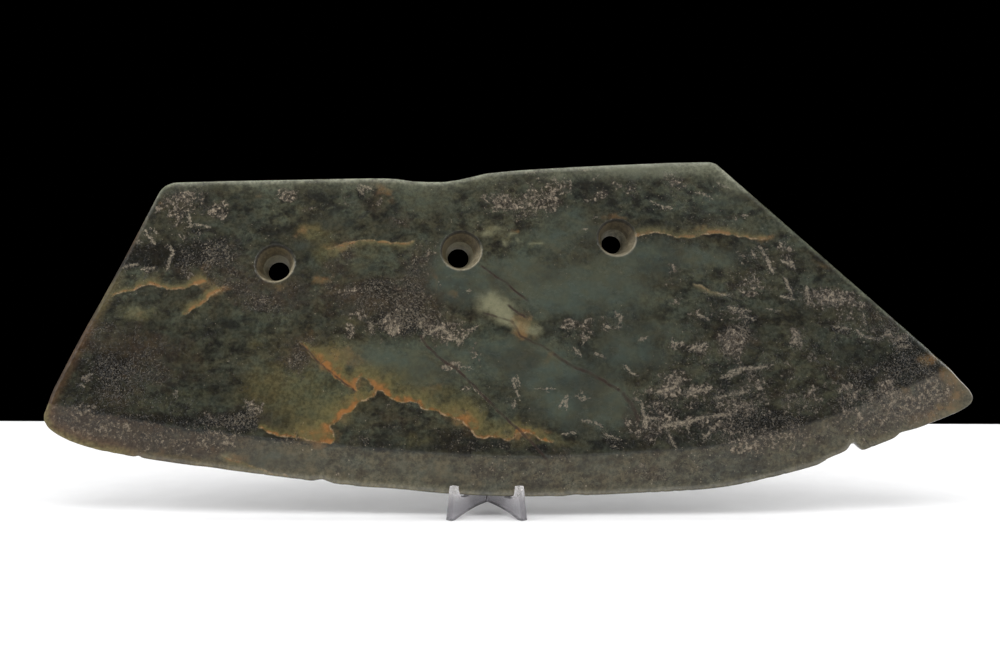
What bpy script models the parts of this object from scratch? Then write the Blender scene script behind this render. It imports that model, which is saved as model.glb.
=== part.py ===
"""A polished stone blade with three drilled holes, leaning in a small clear acrylic stand.

Lengths are in metres. The blade is drawn in its own frame, with x along its length, y through its
thickness (the front face towards -y) and z up its face. It is then leaned back in the stand.
"""
import math

import bmesh
import bpy
import numpy as np
from mathutils import Vector

MM = 0.001

# Blade
THICKNESS = 10 * MM
LEAN = math.radians(19)
ROUNDING = 2.4 * MM              # how far the rounded rim reaches in from the outline
ROUNDING_STEPS = 4
EDGE_THICKNESS = 1.8 * MM        # of the blunt cutting edge
BEVEL_LEFT = 13.5 * MM           # width of the ground strip above the edge at the left end
BEVEL_RIGHT = 17.5 * MM          # and at the right end

# Corners and curves of the outline, in mm from the blade's middle and from the lowest part of the edge
LEFT_END = [(-179.0, 22.0), (-183.0, 23.9), (-187.3, 26.8), (-189.5, 29.7), (-189.7, 32.3), (-188.7, 35.8),
            (-187.4, 41.5), (-185.3, 47.0), (-178.5, 64.0), (-170.9, 81.5), (-163.3, 99.4)]
TOP_LEFT = (-149.3, 134.5)
TOP_RIGHT = (89.7, 144.3)
SHOULDER = (182.4, 51.6)
TIP = (192.6, 38.5)
TOP_EDGE = [(-120.0, 135.4), (-90.0, 136.0), (-60.0, 136.6), (-48.0, 136.3), (-42.0, 135.3),
            (-28.0, 134.9), (-17.5, 136.9), (-10.0, 138.8), (8.0, 140.6), (40.0, 142.5), (70.0, 143.9)]
EDGE_SWEEP = [(-174.8, 20.5), (-164.0, 17.6), (-140.0, 13.6), (-115.0, 10.3), (-65.0, 4.0), (-47.0, 2.7),
              (-20.0, 0.3), (15.0, -0.5), (48.0, 0.7), (80.0, 2.5), (100.0, 5.8), (122.0, 11.3),
              (144.5, 18.3), (168.0, 27.5), (184.0, 33.8)]
CORNER_RADII = {"top_left": 9.0, "top_right": 7.0, "tip": 3.1}
CORNER_STEPS = 7
LEFT_STEP = 3.0
TOP_STEP = 7.0
EDGE_STEP = 5.0

# Old damage along the cutting edge: middle, reach to the left and to the right, depth, in mm
NICKS = [
    (137.5, 13.0, 6.5, 2.3),
    (140.3, 3.6, 3.0, 3.2),
    (-75.6, 3.8, 5.0, 1.3),
    (27.0, 5.0, 4.0, 0.6),
    (159.3, 2.2, 8.0, 1.2),
]

# Holes, each drilled from the front: middle, rim radius in front and behind, and how far the drill
# drifted along and up the blade, in mm
HOLES = [
    (-98.6, 96.5, 7.9, 4.2, 0.0, -0.8),
    (-20.1, 102.2, 8.3, 4.2, -1.7, -0.4),
    (45.9, 108.0, 7.9, 3.9, -1.7, 0.1),
]
FUNNEL_CURVE = 1.3
FUNNEL_STEPS = 4
HOLE_SIDES = 32
OVERRUN = 0.1                    # of each cutter past the blade's faces, as a share of its thickness
WEDGE_GUIDES = 9                 # places along the edge that a grinding wedge's curve runs through
WEDGE_OVERRUN = 30 * MM          # of the grinding wedges past the ends of the edge
WEDGE_AIR = 2 * MM               # that they take off above the faces
WEDGE_OUTSIDE = 8 * MM           # and beyond the edge
SHARP_ANGLE = math.radians(28)

# Stand, cut from one sheet: two front legs and a back leg, which meet in an upright hub
SHEET = 3.0 * MM
STAND_X = -8.9 * MM
FRONT_SPLAY = math.radians(37.5) # of each front leg from straight ahead
FRONT_REACH = 24.6 * MM          # from the hub's middle to the tip of a front foot
BACK_REACH = 56 * MM
FOOT_PAD = 2.6 * MM
HUB_CLEARANCE = 3.5 * MM         # under the arches, at the hub
HUB_HEIGHT = 20 * MM
PRONG_HEIGHT = 13.3 * MM
PRONG_TIP = 2.2 * MM
PRONG_RAKE = 2.3 * MM            # how far the prong's front leans back over its height
HOOK_STEPS = 6
REST_HEIGHT = 56 * MM
REST_TIP = 5 * MM
HEEL_HEIGHT = 3 * MM
BRACE_HEIGHT = 9 * MM            # that the curve down to the heel is drawn towards
ARCH_STEPS = 12
SHEET_BEVEL = 0.2 * MM

# The blade's place in the stand
EDGE_AHEAD = 12 * MM             # of the hub, to the middle of the cutting edge
EDGE_HEIGHT = 8.5 * MM
GAP = 0.35 * MM

JADE_GREEN = (0.045, 0.050, 0.036, 1.0)
CLEAR_ACRYLIC = (0.86, 0.86, 0.90, 0.35)


def smooth_curve(points, step):
    """Points about a step apart on a Catmull-Rom curve through the given points."""
    points = [Vector(point) for point in points]
    padded = [2 * points[0] - points[1]] + points + [2 * points[-1] - points[-2]]
    curve = []
    for before, start, end, after in zip(padded, padded[1:], padded[2:], padded[3:]):
        count = max(1, round((end - start).length / step))
        for t in np.linspace(0, 1, count, endpoint=False):
            bend = (2 * before - 5 * start + 4 * end - after) * t ** 2
            twist = (3 * start - before - 3 * end + after) * t ** 3
            curve.append((2 * start + (end - before) * t + bend + twist) / 2)
    return curve + [points[-1]]


def rounded_corner(before, corner, after, radius):
    """The arc that rounds off the corner between two straight runs."""
    before, corner, after = Vector(before), Vector(corner), Vector(after)
    back = (before - corner).normalized()
    ahead = (after - corner).normalized()
    half_angle = back.angle(ahead) / 2
    centre = corner + (back + ahead).normalized() * radius / math.sin(half_angle)
    run = radius / math.tan(half_angle)
    start = corner + back * run - centre
    end = corner + ahead * run - centre
    arc_angle = start.angle(end)
    arc = []
    for t in np.linspace(0, 1, CORNER_STEPS):
        along = start * math.sin((1 - t) * arc_angle) + end * math.sin(t * arc_angle)
        arc.append(centre + along / math.sin(arc_angle))
    return arc


def edge_line(stations):
    """Points of the cutting edge's sweep, without its damage, at given distances along the blade."""
    fine = np.array([tuple(point) for point in smooth_curve(EDGE_SWEEP, 1.0)])
    return [Vector((x, np.interp(x, fine[:, 0], fine[:, 1]))) for x in stations]


def nick_depth(x):
    """How deep the damage bites into the edge at a distance along the blade."""
    depth = 0.0
    for middle, left, right, most in NICKS:
        reach = left if x < middle else right
        depth += most * max(0.0, 1 - abs(x - middle) / reach)
    return depth


def edge_stations():
    """Even distances along the edge, and the ends, middles and halfway points of its nicks."""
    first, last = EDGE_SWEEP[0][0], EDGE_SWEEP[-1][0]
    stations = list(np.linspace(first, last, round((last - first) / EDGE_STEP)))
    for middle, left, right, _ in NICKS:
        stations = [x for x in stations if not middle - left < x < middle + right]
        stations += [middle - left, middle - left / 2, middle, middle + right / 2, middle + right]
    return sorted(stations)


def blade_outline():
    """The outline clockwise from its left corner, and how many of its last points are the edge."""
    left = smooth_curve(LEFT_END, LEFT_STEP)
    top_left = rounded_corner(LEFT_END[-1], TOP_LEFT, TOP_EDGE[0], CORNER_RADII["top_left"])
    top = smooth_curve(TOP_EDGE, TOP_STEP)
    top_right = rounded_corner(TOP_EDGE[-1], TOP_RIGHT, SHOULDER, CORNER_RADII["top_right"])
    tip = rounded_corner(SHOULDER, TIP, EDGE_SWEEP[-1], CORNER_RADII["tip"])
    edge = edge_line(reversed(edge_stations()))
    outline = left + top_left + top + top_right + [Vector(SHOULDER)] + tip + edge
    return outline, len(edge)


def inset(outline, distance):
    """The outline moved inwards by a distance, with its corners kept true."""
    moved = []
    for before, point, after in zip(outline[-1:] + outline[:-1], outline, outline[1:] + outline[:1]):
        first = (point - before).normalized()
        second = (after - point).normalized()
        inward = Vector((first.y + second.y, -first.x - second.x)).normalized()
        half_turn = first.angle(second) / 2
        moved.append(point + inward * distance / math.cos(half_turn))
    return moved


def mesh_object(name, bm, parent=None):
    """An object from a bmesh, with its faces turned outwards and its curves shaded smooth."""
    bmesh.ops.recalc_face_normals(bm, faces=bm.faces)
    mesh = bpy.data.meshes.new(name)
    bm.to_mesh(mesh)
    bm.free()
    mesh.shade_smooth()
    mesh.set_sharp_from_angle(angle=SHARP_ANGLE)
    obj = bpy.data.objects.new(name, mesh)
    obj.parent = parent
    bpy.context.collection.objects.link(obj)
    return obj


def loft(bm, loops):
    """Walls between loops of equal length, closed by a face at each end."""
    rings = [[bm.verts.new(point) for point in loop] for loop in loops]
    for ring, following in zip(rings, rings[1:]):
        for index in range(len(ring)):
            bm.faces.new((ring[index - 1], ring[index], following[index], following[index - 1]))
    bm.faces.new(rings[0])
    bm.faces.new(reversed(rings[-1]))


def boolean(obj, operation, tool):
    """Cuts or joins a tool shape into an object, and hides the tool."""
    tool.hide_render = True
    tool.display_type = "WIRE"
    modifier = obj.modifiers.new(f"{operation.lower()}_{tool.name}", "BOOLEAN")
    modifier.operation = operation
    modifier.solver = "EXACT"
    modifier.object = tool


def blade_blank(root):
    """The sawn slab, with its rim rounded all round and its edge chipped."""
    outline, edge_count = blade_outline()
    outline = [point * MM for point in outline]
    loops = []
    for step in range(-ROUNDING_STEPS, ROUNDING_STEPS + 1):
        angle = math.pi / 2 * step / ROUNDING_STEPS
        loop = inset(outline, ROUNDING * (1 - math.cos(angle)))
        y = THICKNESS / 2 * math.sin(angle)
        chips = [0.0] * (len(loop) - edge_count) + [nick_depth(p.x / MM) * MM for p in loop[-edge_count:]]
        loops.append([(point.x, y, point.y + chip) for point, chip in zip(loop, chips)])
    bm = bmesh.new()
    loft(bm, loops)
    blank = mesh_object("axe_blade", bm, root)
    blank.location.z = EDGE_HEIGHT
    blank.rotation_euler.x = -LEAN
    return blank


def grinding_wedge(blade, side):
    """What grinding takes off one side of the blade above its edge; side is -1 in front, 1 behind."""
    first, last = Vector(EDGE_SWEEP[0]), Vector(EDGE_SWEEP[-1])
    left_end = first + (first - Vector(EDGE_SWEEP[1])).normalized() * WEDGE_OVERRUN / MM
    right_end = last + (last - Vector(EDGE_SWEEP[-2])).normalized() * WEDGE_OVERRUN / MM
    guides = edge_line(np.linspace(first.x, last.x, WEDGE_GUIDES))
    line = [left_end] + smooth_curve(guides, EDGE_STEP * 2) + [right_end]
    edge_depth = (THICKNESS - EDGE_THICKNESS) / 2
    sections = []
    for index, point in enumerate(line):
        before, after = line[max(index - 1, 0)], line[min(index + 1, len(line) - 1)]
        along = (after - before).normalized()
        inward = Vector((-along.y, along.x))
        share = (point.x - first.x) / (last.x - first.x)
        width = BEVEL_LEFT + (BEVEL_RIGHT - BEVEL_LEFT) * share
        slope = edge_depth / width
        section = []
        for distance, depth in ((-WEDGE_OUTSIDE, edge_depth + slope * WEDGE_OUTSIDE),
                                (width + WEDGE_AIR / slope, -WEDGE_AIR), (-WEDGE_OUTSIDE, -WEDGE_AIR)):
            place = point * MM + inward * distance
            section.append((place.x, side * (THICKNESS / 2 - depth), place.y))
        sections.append(section)
    bm = bmesh.new()
    loft(bm, sections)
    return mesh_object(f"grinding_wedge_{'front' if side < 0 else 'back'}", bm, blade)


def funnel(blade, number, hole):
    """The space that one drill hole leaves, wide in front and narrow behind."""
    x, z, front_radius, back_radius, drift_along, drift_up = (value * MM for value in hole)
    loops = []
    for depth in np.linspace(-OVERRUN, 1 + OVERRUN, FUNNEL_STEPS + 3):
        narrowing = min(max(1 - depth, 0), 1) ** FUNNEL_CURVE
        radius = back_radius + (front_radius - back_radius) * narrowing
        if depth < 0:
            radius += (front_radius - back_radius) * -depth * FUNNEL_CURVE
        loop = []
        for side in range(HOLE_SIDES):
            angle = math.tau * side / HOLE_SIDES
            loop.append((x + drift_along * depth + radius * math.cos(angle), THICKNESS * (depth - 0.5),
                         z + drift_up * depth + radius * math.sin(angle)))
        loops.append(loop)
    bm = bmesh.new()
    loft(bm, loops)
    return mesh_object(f"drill_hole_{number}", bm, blade)


def axe_blade(root):
    """The blade: its slab, ground to an edge on both sides and drilled."""
    blade = blade_blank(root)
    for side in (-1, 1):
        boolean(blade, "DIFFERENCE", grinding_wedge(blade, side))
    for number, hole in enumerate(HOLES, 1):
        boolean(blade, "DIFFERENCE", funnel(blade, number, hole))
    return blade


def arch(reach):
    """The arched underside of a leg, from the inner end of its foot pad up to the hub."""
    pad_end = reach - FOOT_PAD
    return [(pad_end * share, HUB_CLEARANCE * (1 - share ** 2)) for share in np.linspace(1, 0, ARCH_STEPS)]


def ledge_height(side):
    """The height of a front leg's ledge, just under the part of the cutting edge that it carries."""
    x = STAND_X + side * EDGE_AHEAD * math.tan(FRONT_SPLAY)
    edge = edge_line([x / MM])[0].y * MM
    lowest = edge * math.cos(LEAN) - EDGE_THICKNESS / 2 * math.sin(LEAN)
    return EDGE_HEIGHT + lowest - GAP


def front_leg_profile(ledge):
    """A front leg and its hooked prong, as distances ahead of the hub and heights."""
    ahead = math.cos(FRONT_SPLAY)
    prong_front = FRONT_REACH - PRONG_RAKE
    prong_back = prong_front - PRONG_TIP
    ledge_front = (EDGE_AHEAD + EDGE_THICKNESS / 2 + GAP) / ahead
    ledge_back = (EDGE_AHEAD - EDGE_THICKNESS / 2 - GAP) / ahead
    hook = []
    for angle in np.linspace(math.pi / 2, 0, HOOK_STEPS):
        hook.append((ledge_front + (prong_back - ledge_front) * math.sin(angle),
                     ledge + (PRONG_HEIGHT - ledge) * (1 - math.cos(angle))))
    outside = [(FRONT_REACH, 0.0), (prong_front, PRONG_HEIGHT)]
    return outside + hook + [(ledge_back, ledge), (0.0, HUB_HEIGHT)] + list(reversed(arch(FRONT_REACH)))


def rest_line(height):
    """How far behind the hub the back rest's front edge runs at a height, just clear of the blade."""
    up_the_blade = (height - EDGE_HEIGHT + THICKNESS / 2 * math.sin(LEAN)) / math.cos(LEAN)
    blade_back = up_the_blade * math.sin(LEAN) + THICKNESS / 2 * math.cos(LEAN) - EDGE_AHEAD
    return blade_back + GAP / math.cos(LEAN)


def back_leg_profile():
    """The back leg and the back rest, as distances behind the hub and heights."""
    hub_front = -SHEET / 2
    rest_foot = EDGE_HEIGHT + (hub_front - rest_line(EDGE_HEIGHT)) / math.tan(LEAN)
    top_front = (rest_line(REST_HEIGHT), REST_HEIGHT)
    top_back = Vector((top_front[0] + REST_TIP, REST_HEIGHT))
    heel = Vector((BACK_REACH, HEEL_HEIGHT))
    pull = Vector((top_back.x + HEEL_HEIGHT, BRACE_HEIGHT))
    brace = []
    for t in np.linspace(0, 1, ARCH_STEPS):
        brace.append(tuple(top_back * (1 - t) ** 2 + pull * 2 * t * (1 - t) + heel * t ** 2))
    underside = arch(BACK_REACH) + [(hub_front, HUB_CLEARANCE)]
    return [(hub_front, rest_foot), top_front] + brace + [(BACK_REACH, 0.0)] + underside


def sheet_leg(name, profile, direction, root, turn=0.0):
    """A leg cut from the sheet along a profile, standing on the hub; direction is -1 ahead, 1 behind."""
    bm = bmesh.new()
    loft(bm, [[(x, direction * y, z) for y, z in profile] for x in (-SHEET / 2, SHEET / 2)])
    leg = mesh_object(name, bm, root)
    leg.location = (STAND_X, EDGE_AHEAD, 0.0)
    leg.rotation_euler.z = turn
    polish = leg.modifiers.new("polished_edges", "BEVEL")
    polish.width = SHEET_BEVEL
    polish.segments = 1
    polish.limit_method = "ANGLE"
    polish.angle_limit = math.radians(40)
    return leg


def display_stand(root):
    """The stand: two front legs let into the hub of the back leg."""
    stand = sheet_leg("display_stand", back_leg_profile(), 1, root)
    for name, side in (("left", -1), ("right", 1)):
        profile = front_leg_profile(ledge_height(side))
        leg = sheet_leg(f"{name}_front_leg", profile, -1, root, side * FRONT_SPLAY)
        boolean(stand, "UNION", leg)
    return stand


def finish(obj, name, colour, roughness, transmission=0.0):
    """A plain finish for one piece."""
    material = bpy.data.materials.new(name)
    material.use_nodes = True
    shader = material.node_tree.nodes["Principled BSDF"]
    shader.inputs["Base Color"].default_value = colour
    shader.inputs["Roughness"].default_value = roughness
    shader.inputs["Metallic"].default_value = 0.0
    shader.inputs["Transmission Weight"].default_value = transmission
    obj.data.materials.append(material)


def centre_on_origin(root, pieces):
    """Moves the whole object so that its box is centred over the origin."""
    bpy.context.view_layer.update()
    depsgraph = bpy.context.evaluated_depsgraph_get()
    corners = []
    for piece in pieces:
        evaluated = piece.evaluated_get(depsgraph)
        corners += [evaluated.matrix_world @ vertex.co for vertex in evaluated.data.vertices]
    for axis in (0, 1):
        values = [corner[axis] for corner in corners]
        root.location[axis] = -(min(values) + max(values)) / 2


def main():
    """Builds the blade in its stand."""
    for obj in list(bpy.data.objects):
        bpy.data.objects.remove(obj, do_unlink=True)
    root = bpy.data.objects.new("blade_in_stand", None)
    bpy.context.collection.objects.link(root)
    blade = axe_blade(root)
    stand = display_stand(root)
    finish(blade, "dark_green_jade", JADE_GREEN, 0.42)
    finish(stand, "clear_acrylic", CLEAR_ACRYLIC, 0.05, transmission=0.9)
    centre_on_origin(root, (blade, stand))


main()
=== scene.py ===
"""The finished look of a polished jade blade leaning in its clear acrylic stand.

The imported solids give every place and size. The stone's markings are drawn on the blade's own face,
in millimetres: along the blade from its middle, up its face from its lowest point, and deep from the
front face. Everything else is in metres.
"""

import math

import bmesh
import bpy
import numpy as np
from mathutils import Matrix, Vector, geometry
from mathutils.bvhtree import BVHTree
from mathutils.kdtree import KDTree


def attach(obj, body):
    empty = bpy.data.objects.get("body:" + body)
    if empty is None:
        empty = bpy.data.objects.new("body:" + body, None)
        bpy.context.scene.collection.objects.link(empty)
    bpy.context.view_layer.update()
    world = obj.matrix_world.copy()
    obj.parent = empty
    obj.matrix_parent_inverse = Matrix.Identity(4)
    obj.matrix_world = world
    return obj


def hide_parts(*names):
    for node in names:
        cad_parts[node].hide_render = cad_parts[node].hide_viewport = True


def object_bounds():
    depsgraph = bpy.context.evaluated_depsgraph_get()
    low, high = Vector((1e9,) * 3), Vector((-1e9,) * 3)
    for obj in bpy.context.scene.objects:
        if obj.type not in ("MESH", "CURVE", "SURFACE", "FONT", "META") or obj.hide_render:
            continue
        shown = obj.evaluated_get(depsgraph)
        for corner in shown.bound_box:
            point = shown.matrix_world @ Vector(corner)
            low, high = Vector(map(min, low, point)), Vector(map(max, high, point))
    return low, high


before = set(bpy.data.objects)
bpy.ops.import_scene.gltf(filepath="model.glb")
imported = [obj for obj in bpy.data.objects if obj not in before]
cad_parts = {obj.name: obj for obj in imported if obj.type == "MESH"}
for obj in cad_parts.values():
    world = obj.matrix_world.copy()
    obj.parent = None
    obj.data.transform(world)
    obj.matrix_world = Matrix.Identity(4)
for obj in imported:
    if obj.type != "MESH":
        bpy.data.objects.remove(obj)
cad_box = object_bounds()

MM = 0.001

# How the stone was worked, in mm
RIM_REACH = 2.4            # how far the rounded rim reaches in
SUNK = 0.05                # the polished face lies this far inside the solid
LIP_REACH = 0.35           # worn lip round each hole
LIP_CURVE = ((SUNK + 0.04, 0.45), (SUNK + 0.16, 0.22), (0.42, 0.08))  # depth and reach past the wall
WALL_DEPTH = 0.8           # where a hole's lip ends and its plain wall begins
GROOVE_DEPTH = 0.06        # left by the drill
DRAWN_FROM = -0.79         # where the markings are measured from, along from the blade's middle

# Wear of the outline and relief of the faces, in mm
OUTLINE_WEAR = (0.02, 0.05)                           # everywhere, and more here and there
EDGE_WEAR = ((2.6, 6, 0.4, 0.3), (7.0, 7, 0.5, 0.5))  # size, seed, rarity and depth, on the cutting edge
WAVES = ((0.03, 38.0, 310), (0.012, 9.0, 311))        # height, size and seed, on the polished faces
FACE_WEAR = 0.03
CRUST_HEIGHT = 0.045
CRACK_DEPTH = 0.07
PIT_DEPTH = 0.5

# How finely the mesh is drawn, in mm, and the numbers of its rings
OUTLINE_STEP = 1.0
FINE_STEP = 0.25           # of the outline that distances from the rim are measured to
SOFTENING_ROUNDS = 12
RIM_RINGS = (0.03, 0.12, 0.28, 0.52, 0.85, 1.25, 1.75)
FRONT_SPACING = 0.88
BACK_SPACING = 1.6
CLEARANCE = 0.45           # of the loose points from the rings and the holes, as a share of their spacing
GRID_NUDGE = 0.12          # of each loose point, as a share of their spacing
EVENING_ROUNDS = 2
HOLE_SIDES = 72
WALL_RINGS = 14

# Where the solid is read, as shares of its thickness, and how far in from the outline, in mm
MIDDLE_SHARE = 0.49
DRILL_SHARES = (0.02, 0.15, 0.35, 0.6, 0.8, 0.98)
FACE_INSET = 0.45
GROUND_INSET = RIM_REACH + 0.3

# The markings' reach round their lines, in mm, and their seeds
VEIN_REACH = 24.0
CRACK_REACH = 2.5
SCAR_REACH = 1.7
PATCH_SEED = 100
VEIN_SEED = 20
CRACK_SEED = 70
CRUST_SEED = 301
GRID_SEED = 11

# The grain of the stone: its turn from level, and how much longer than wide its clouds are
GRAIN_TURN = math.radians(-34)
GRAIN_STRETCH = 2.3

# The stone's tones as they look, red, green and blue from 0 to 255
TONES = {
    "deep_green": (55, 55, 45), "grey_green": (66, 68, 56), "mottling": (28, 27, 23),
    "clear_dark": (60, 63, 55), "clear_light": (73, 78, 67),
    "olive": (80, 77, 54), "brown": (56, 48, 40), "dark": (23, 22, 20),
    "above_bevel": (34, 33, 29), "bevel_light": (98, 94, 78), "bevel_dark": (76, 72, 60),
    "bevel_left": (88, 76, 64),
    "rust_dull": (96, 82, 58), "rust": (120, 92, 60), "cream": (122, 121, 97),
    "rusty_cream": (118, 103, 75),
    "stain_pale": (90, 86, 67), "stain_olive": (95, 88, 57), "glow_pale": (108, 98, 76),
    "glow_brown": (102, 72, 43), "glow_orange": (136, 93, 54), "beyond_vein": (42, 36, 29),
    "vein_pale": (128, 119, 95), "vein_brown": (114, 74, 52), "vein_cream": (172, 146, 118),
    "pit": (21, 20, 18), "fleck_dark": (84, 77, 66), "fleck_light": (112, 105, 92), "dot": (128, 119, 104),
    "under_crust": (52, 46, 40), "crust_dark": (72, 64, 54), "crust_light": (144, 133, 116),
    "scar_dark": (92, 85, 72), "scar_light": (138, 128, 111), "crack": (45, 34, 27),
    # painted light along the outline: the paler rim strip, the top edge's highlight and the top glow
    "rim": (98, 104, 86), "top_rim_highlight": (146, 148, 130), "top_glow": (102, 104, 88),
    "left_rim_dark": (30, 23, 17), "left_rim_light": (62, 46, 30),
    # painted light: the glow in from the left end, and the paler strip along the cutting edge
    "left_glow_low": (88, 66, 46), "left_glow_high": (98, 89, 62),
    "edge": (100, 95, 74), "left_edge": (118, 110, 80),
    # painted light and shade in the holes: walls shaded above and lit below, a highlight on the lower lips
    # and shade on the upper ones
    "wall_shaded": (66, 58, 42), "wall_lit": (142, 134, 112), "wall_mottling": (74, 65, 42),
    "wall_far": (112, 108, 90), "lower_lip_highlight": (150, 142, 122), "upper_lip_shade": (36, 33, 27),
}

# The table, in metres: how far it reaches, how far behind the object it ends, and how askew
TABLE_REACH = 2.0
TABLE_BEHIND = 0.1765
TABLE_SKEW = 0.0395

# Soft lights: place from the middle of the object's footprint, height aimed at above it, size and power
LIGHTS = {
    "key_light": ((0, -0.36, 1.1), 0.05, (1.6, 0.6), 7.5),
    "front_light": ((0, -1.5, 0.22), 0.08, (1.8, 0.3), 4.7),
    "left_light": ((-0.95, -0.15, 0.36), 0.03, (0.7, 0.6), 10.6),
    "right_light": ((0.95, -0.15, 0.36), 0.03, (0.7, 0.6), 10.6),
    "rim_light": ((0, 0.35, 0.9), 0.1, (1.3, 0.3), 2.9),
}

# The camera: metres before the object's front, to the side and up, degrees down, and its lens in mm
CAMERA_BACK = 0.3979
CAMERA_ASIDE = -0.00429
CAMERA_HEIGHT = 0.10068
CAMERA_DOWN = 3.823
CAMERA_LENS = 36.9

# Small losses from the outline: place along and up, how far they spread and how deep they go, in mm
LOSSES = [(189.6, 39.6, 2.4, 0.9), (184, 47.5, 5, 0.5), (-150.2, 16.5, 1.3, 0.9), (176.5, 56.5, 2.5, 0.3),
          (130, 16.5, 3.5, 0.4), (138.4, 21.3, 1.0, 0.6)]

# Veins: places along the line with how far their stain spreads, in mm. The stain lies to the left of
# the line as it runs; hue is 0 for cream and 1 for orange.
VEINS = {
    "rust_border": (1.0, 0.55, [
        (-102, 27.4, 1), (-95.7, 24.8, 1.5), (-92, 23.2, 2), (-88.2, 23.5, 2.5), (-82.4, 22.7, 4.5),
        (-77.2, 21.3, 5.5), (-72, 20.5, 5), (-69.6, 22.9, 4), (-72.7, 27.4, 5), (-70.5, 29, 5),
        (-66.8, 32.6, 5), (-64.2, 33.3, 4), (-62.3, 35.3, 4), (-60.5, 37.9, 4), (-57.9, 38.5, 3),
        (-54.7, 40.2, 2), (-53.9, 43.2, 4), (-50.9, 41.5, 5), (-47.6, 39.2, 4), (-44.9, 37.9, 4),
        (-41.7, 37.6, 4), (-39.1, 38.2, 3.5), (-36.5, 37.2, 3), (-35.2, 35.3, 3.5), (-32.6, 34.3, 3),
        (-28, 33.6, 3), (-25.4, 32, 4), (-22.2, 31.3, 5), (-19.6, 30, 6), (-17, 28.1, 6),
        (-14.4, 25.5, 5), (-12.5, 23.2, 4), (-9.9, 22.7, 4), (-7.3, 23.5, 3), (-4.1, 23.2, 3),
        (-0.9, 21.9, 3.5), (1, 22.5, 4), (3.6, 24.5, 4), (7.1, 25.2, 2.5), (10.3, 23.9, 3),
        (12.9, 22.6, 3), (14.8, 21.7, 2), (18.6, 21.3, 1)]),
    "rust_crack": (1.0, 0.25, [
        (-86.4, 63.3, 0.6), (-82.9, 59.3, 1.5), (-80.1, 56.2, 3.5), (-76.7, 52.9, 6), (-73.3, 50.2, 6),
        (-69.3, 46.8, 4), (-65.3, 44.2, 3), (-61.3, 41.5, 2)]),
    "hook": (0.9, 0.4, [
        (-61.3, 41.5, 2), (-62.8, 44.5, 3), (-62.1, 46.8, 3), (-60.2, 48.4, 3), (-57.6, 46.8, 4),
        (-53.9, 43.2, 4)]),
    "left_streak": (0.7, 0.6, [
        (-166.9, 82.2, 0.6), (-162.5, 84.3, 1.0), (-159.5, 84.3, 1.2), (-156, 85.7, 1.4),
        (-153.4, 87.1, 1.5), (-150.2, 88.1, 1.6), (-146.8, 87.4, 1.5), (-144, 86.7, 1.3),
        (-142.6, 85.3, 1.2), (-139.3, 86, 1.1), (-135.9, 85.7, 1.2), (-133.4, 86.7, 1.6),
        (-132.1, 87.8, 2.2), (-129.5, 88.1, 2.8), (-125.5, 89.2, 1.8)]),
    "left_tail": (0.7, 0.4, [
        (-136.3, 73.5, 0.6), (-133.1, 75.2, 1.3), (-131.3, 77.3, 1.6), (-128.7, 78.7, 1.6),
        (-126.2, 80.8, 1.6), (-125.1, 83.2, 2.0), (-122.5, 83.9, 2.2), (-120.5, 85, 1.8),
        (-119.3, 86.4, 0.9)]),
    "middle_streak": (0.55, 0.35, [
        (-39.3, 107.6, 0.6), (-42.7, 106.2, 1.2), (-49.4, 106.2, 1.1), (-54.9, 106.9, 1.3),
        (-61.6, 107.3, 1.6), (-67, 106.9, 2.1), (-71, 105.5, 2.4), (-74.3, 104.4, 1.9),
        (-78, 103.6, 0.8)]),
    "right_streak": (0.5, 0.8, [
        (52.5, 109.4, 2), (54.7, 109.7, 2), (58.5, 110.2, 1.8), (63.3, 111, 1.6), (68, 109.9, 1.6),
        (72, 108.8, 1.8), (76.7, 108.5, 2.2), (81.5, 109.7, 2.7), (84.9, 110.2, 2.7), (90.3, 110.6, 2.2),
        (95.1, 110.2, 2), (99.7, 109.2, 2.1), (103.7, 108.5, 2.2), (107.7, 107.4, 2.2),
        (110.5, 108.5, 1.5)]),
    "bevel_streak": (0.7, 0.5, [
        (-87.7, 8.1, 0.4), (-96.7, 9.4, 0.7), (-102.5, 11.3, 0.8), (-107.2, 13.5, 1), (-112.3, 14.8, 1.2),
        (-116.3, 16.7, 1)]),
    "olive_streak": (0.15, 0.5, [
        (92.1, 83, 0.4), (87.5, 83.7, 0.9), (83.6, 85.1, 1), (80.3, 87.2, 1), (77, 88.2, 0.5)]),
}

# Healed cracks: how dark, how wide in mm, and the places along them
CRACKS = {
    "from_left_glow": (0.9, 0.3, [
        (-86.4, 63.3), (-80.1, 56.2), (-73.3, 50.2), (-65.3, 44.2), (-61.3, 41.5)]),
    "from_middle_hole": (1.0, 0.34, [(-12.2, 96.2), (-5.5, 91.3), (-0.2, 88.1), (2.5, 85), (8.5, 80.1)]),
    "by_cream_spot": (1.0, 0.34, [(-0.8, 79.4), (1.8, 77), (4.5, 74.9), (7.8, 72.8)]),
    "under_cream_spot": (0.8, 0.35, [
        (-11.4, 75.6), (-6.8, 74.2), (-2.2, 72.8), (1.8, 71.4), (4.8, 65.5), (10, 62.8), (14.6, 60.7),
        (17.9, 58.7)]),
    "long_brown": (1.15, 0.42, [
        (17.9, 58.7), (21.1, 56), (26.3, 52.3), (32.7, 49.9), (36.6, 47.6), (40.4, 45.3), (43.6, 43.3),
        (46.2, 42.3)]),
    "red_brown": (0.85, 0.6, [
        (46.2, 42.3), (47.7, 39.3), (49.9, 36.7), (51.4, 33.4), (52, 30.8), (52.5, 28.1)]),
    "long_straight": (1.6, 0.32, [
        (-37.1, 66.1), (-33.7, 61.3), (-27.1, 54.9), (-21.8, 51.9), (-17.2, 47.2), (-13.2, 43.2),
        (-8.7, 38.5), (-1.6, 31.3), (6.1, 24.2), (10.9, 19.1), (16, 13.3)]),
}

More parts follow.
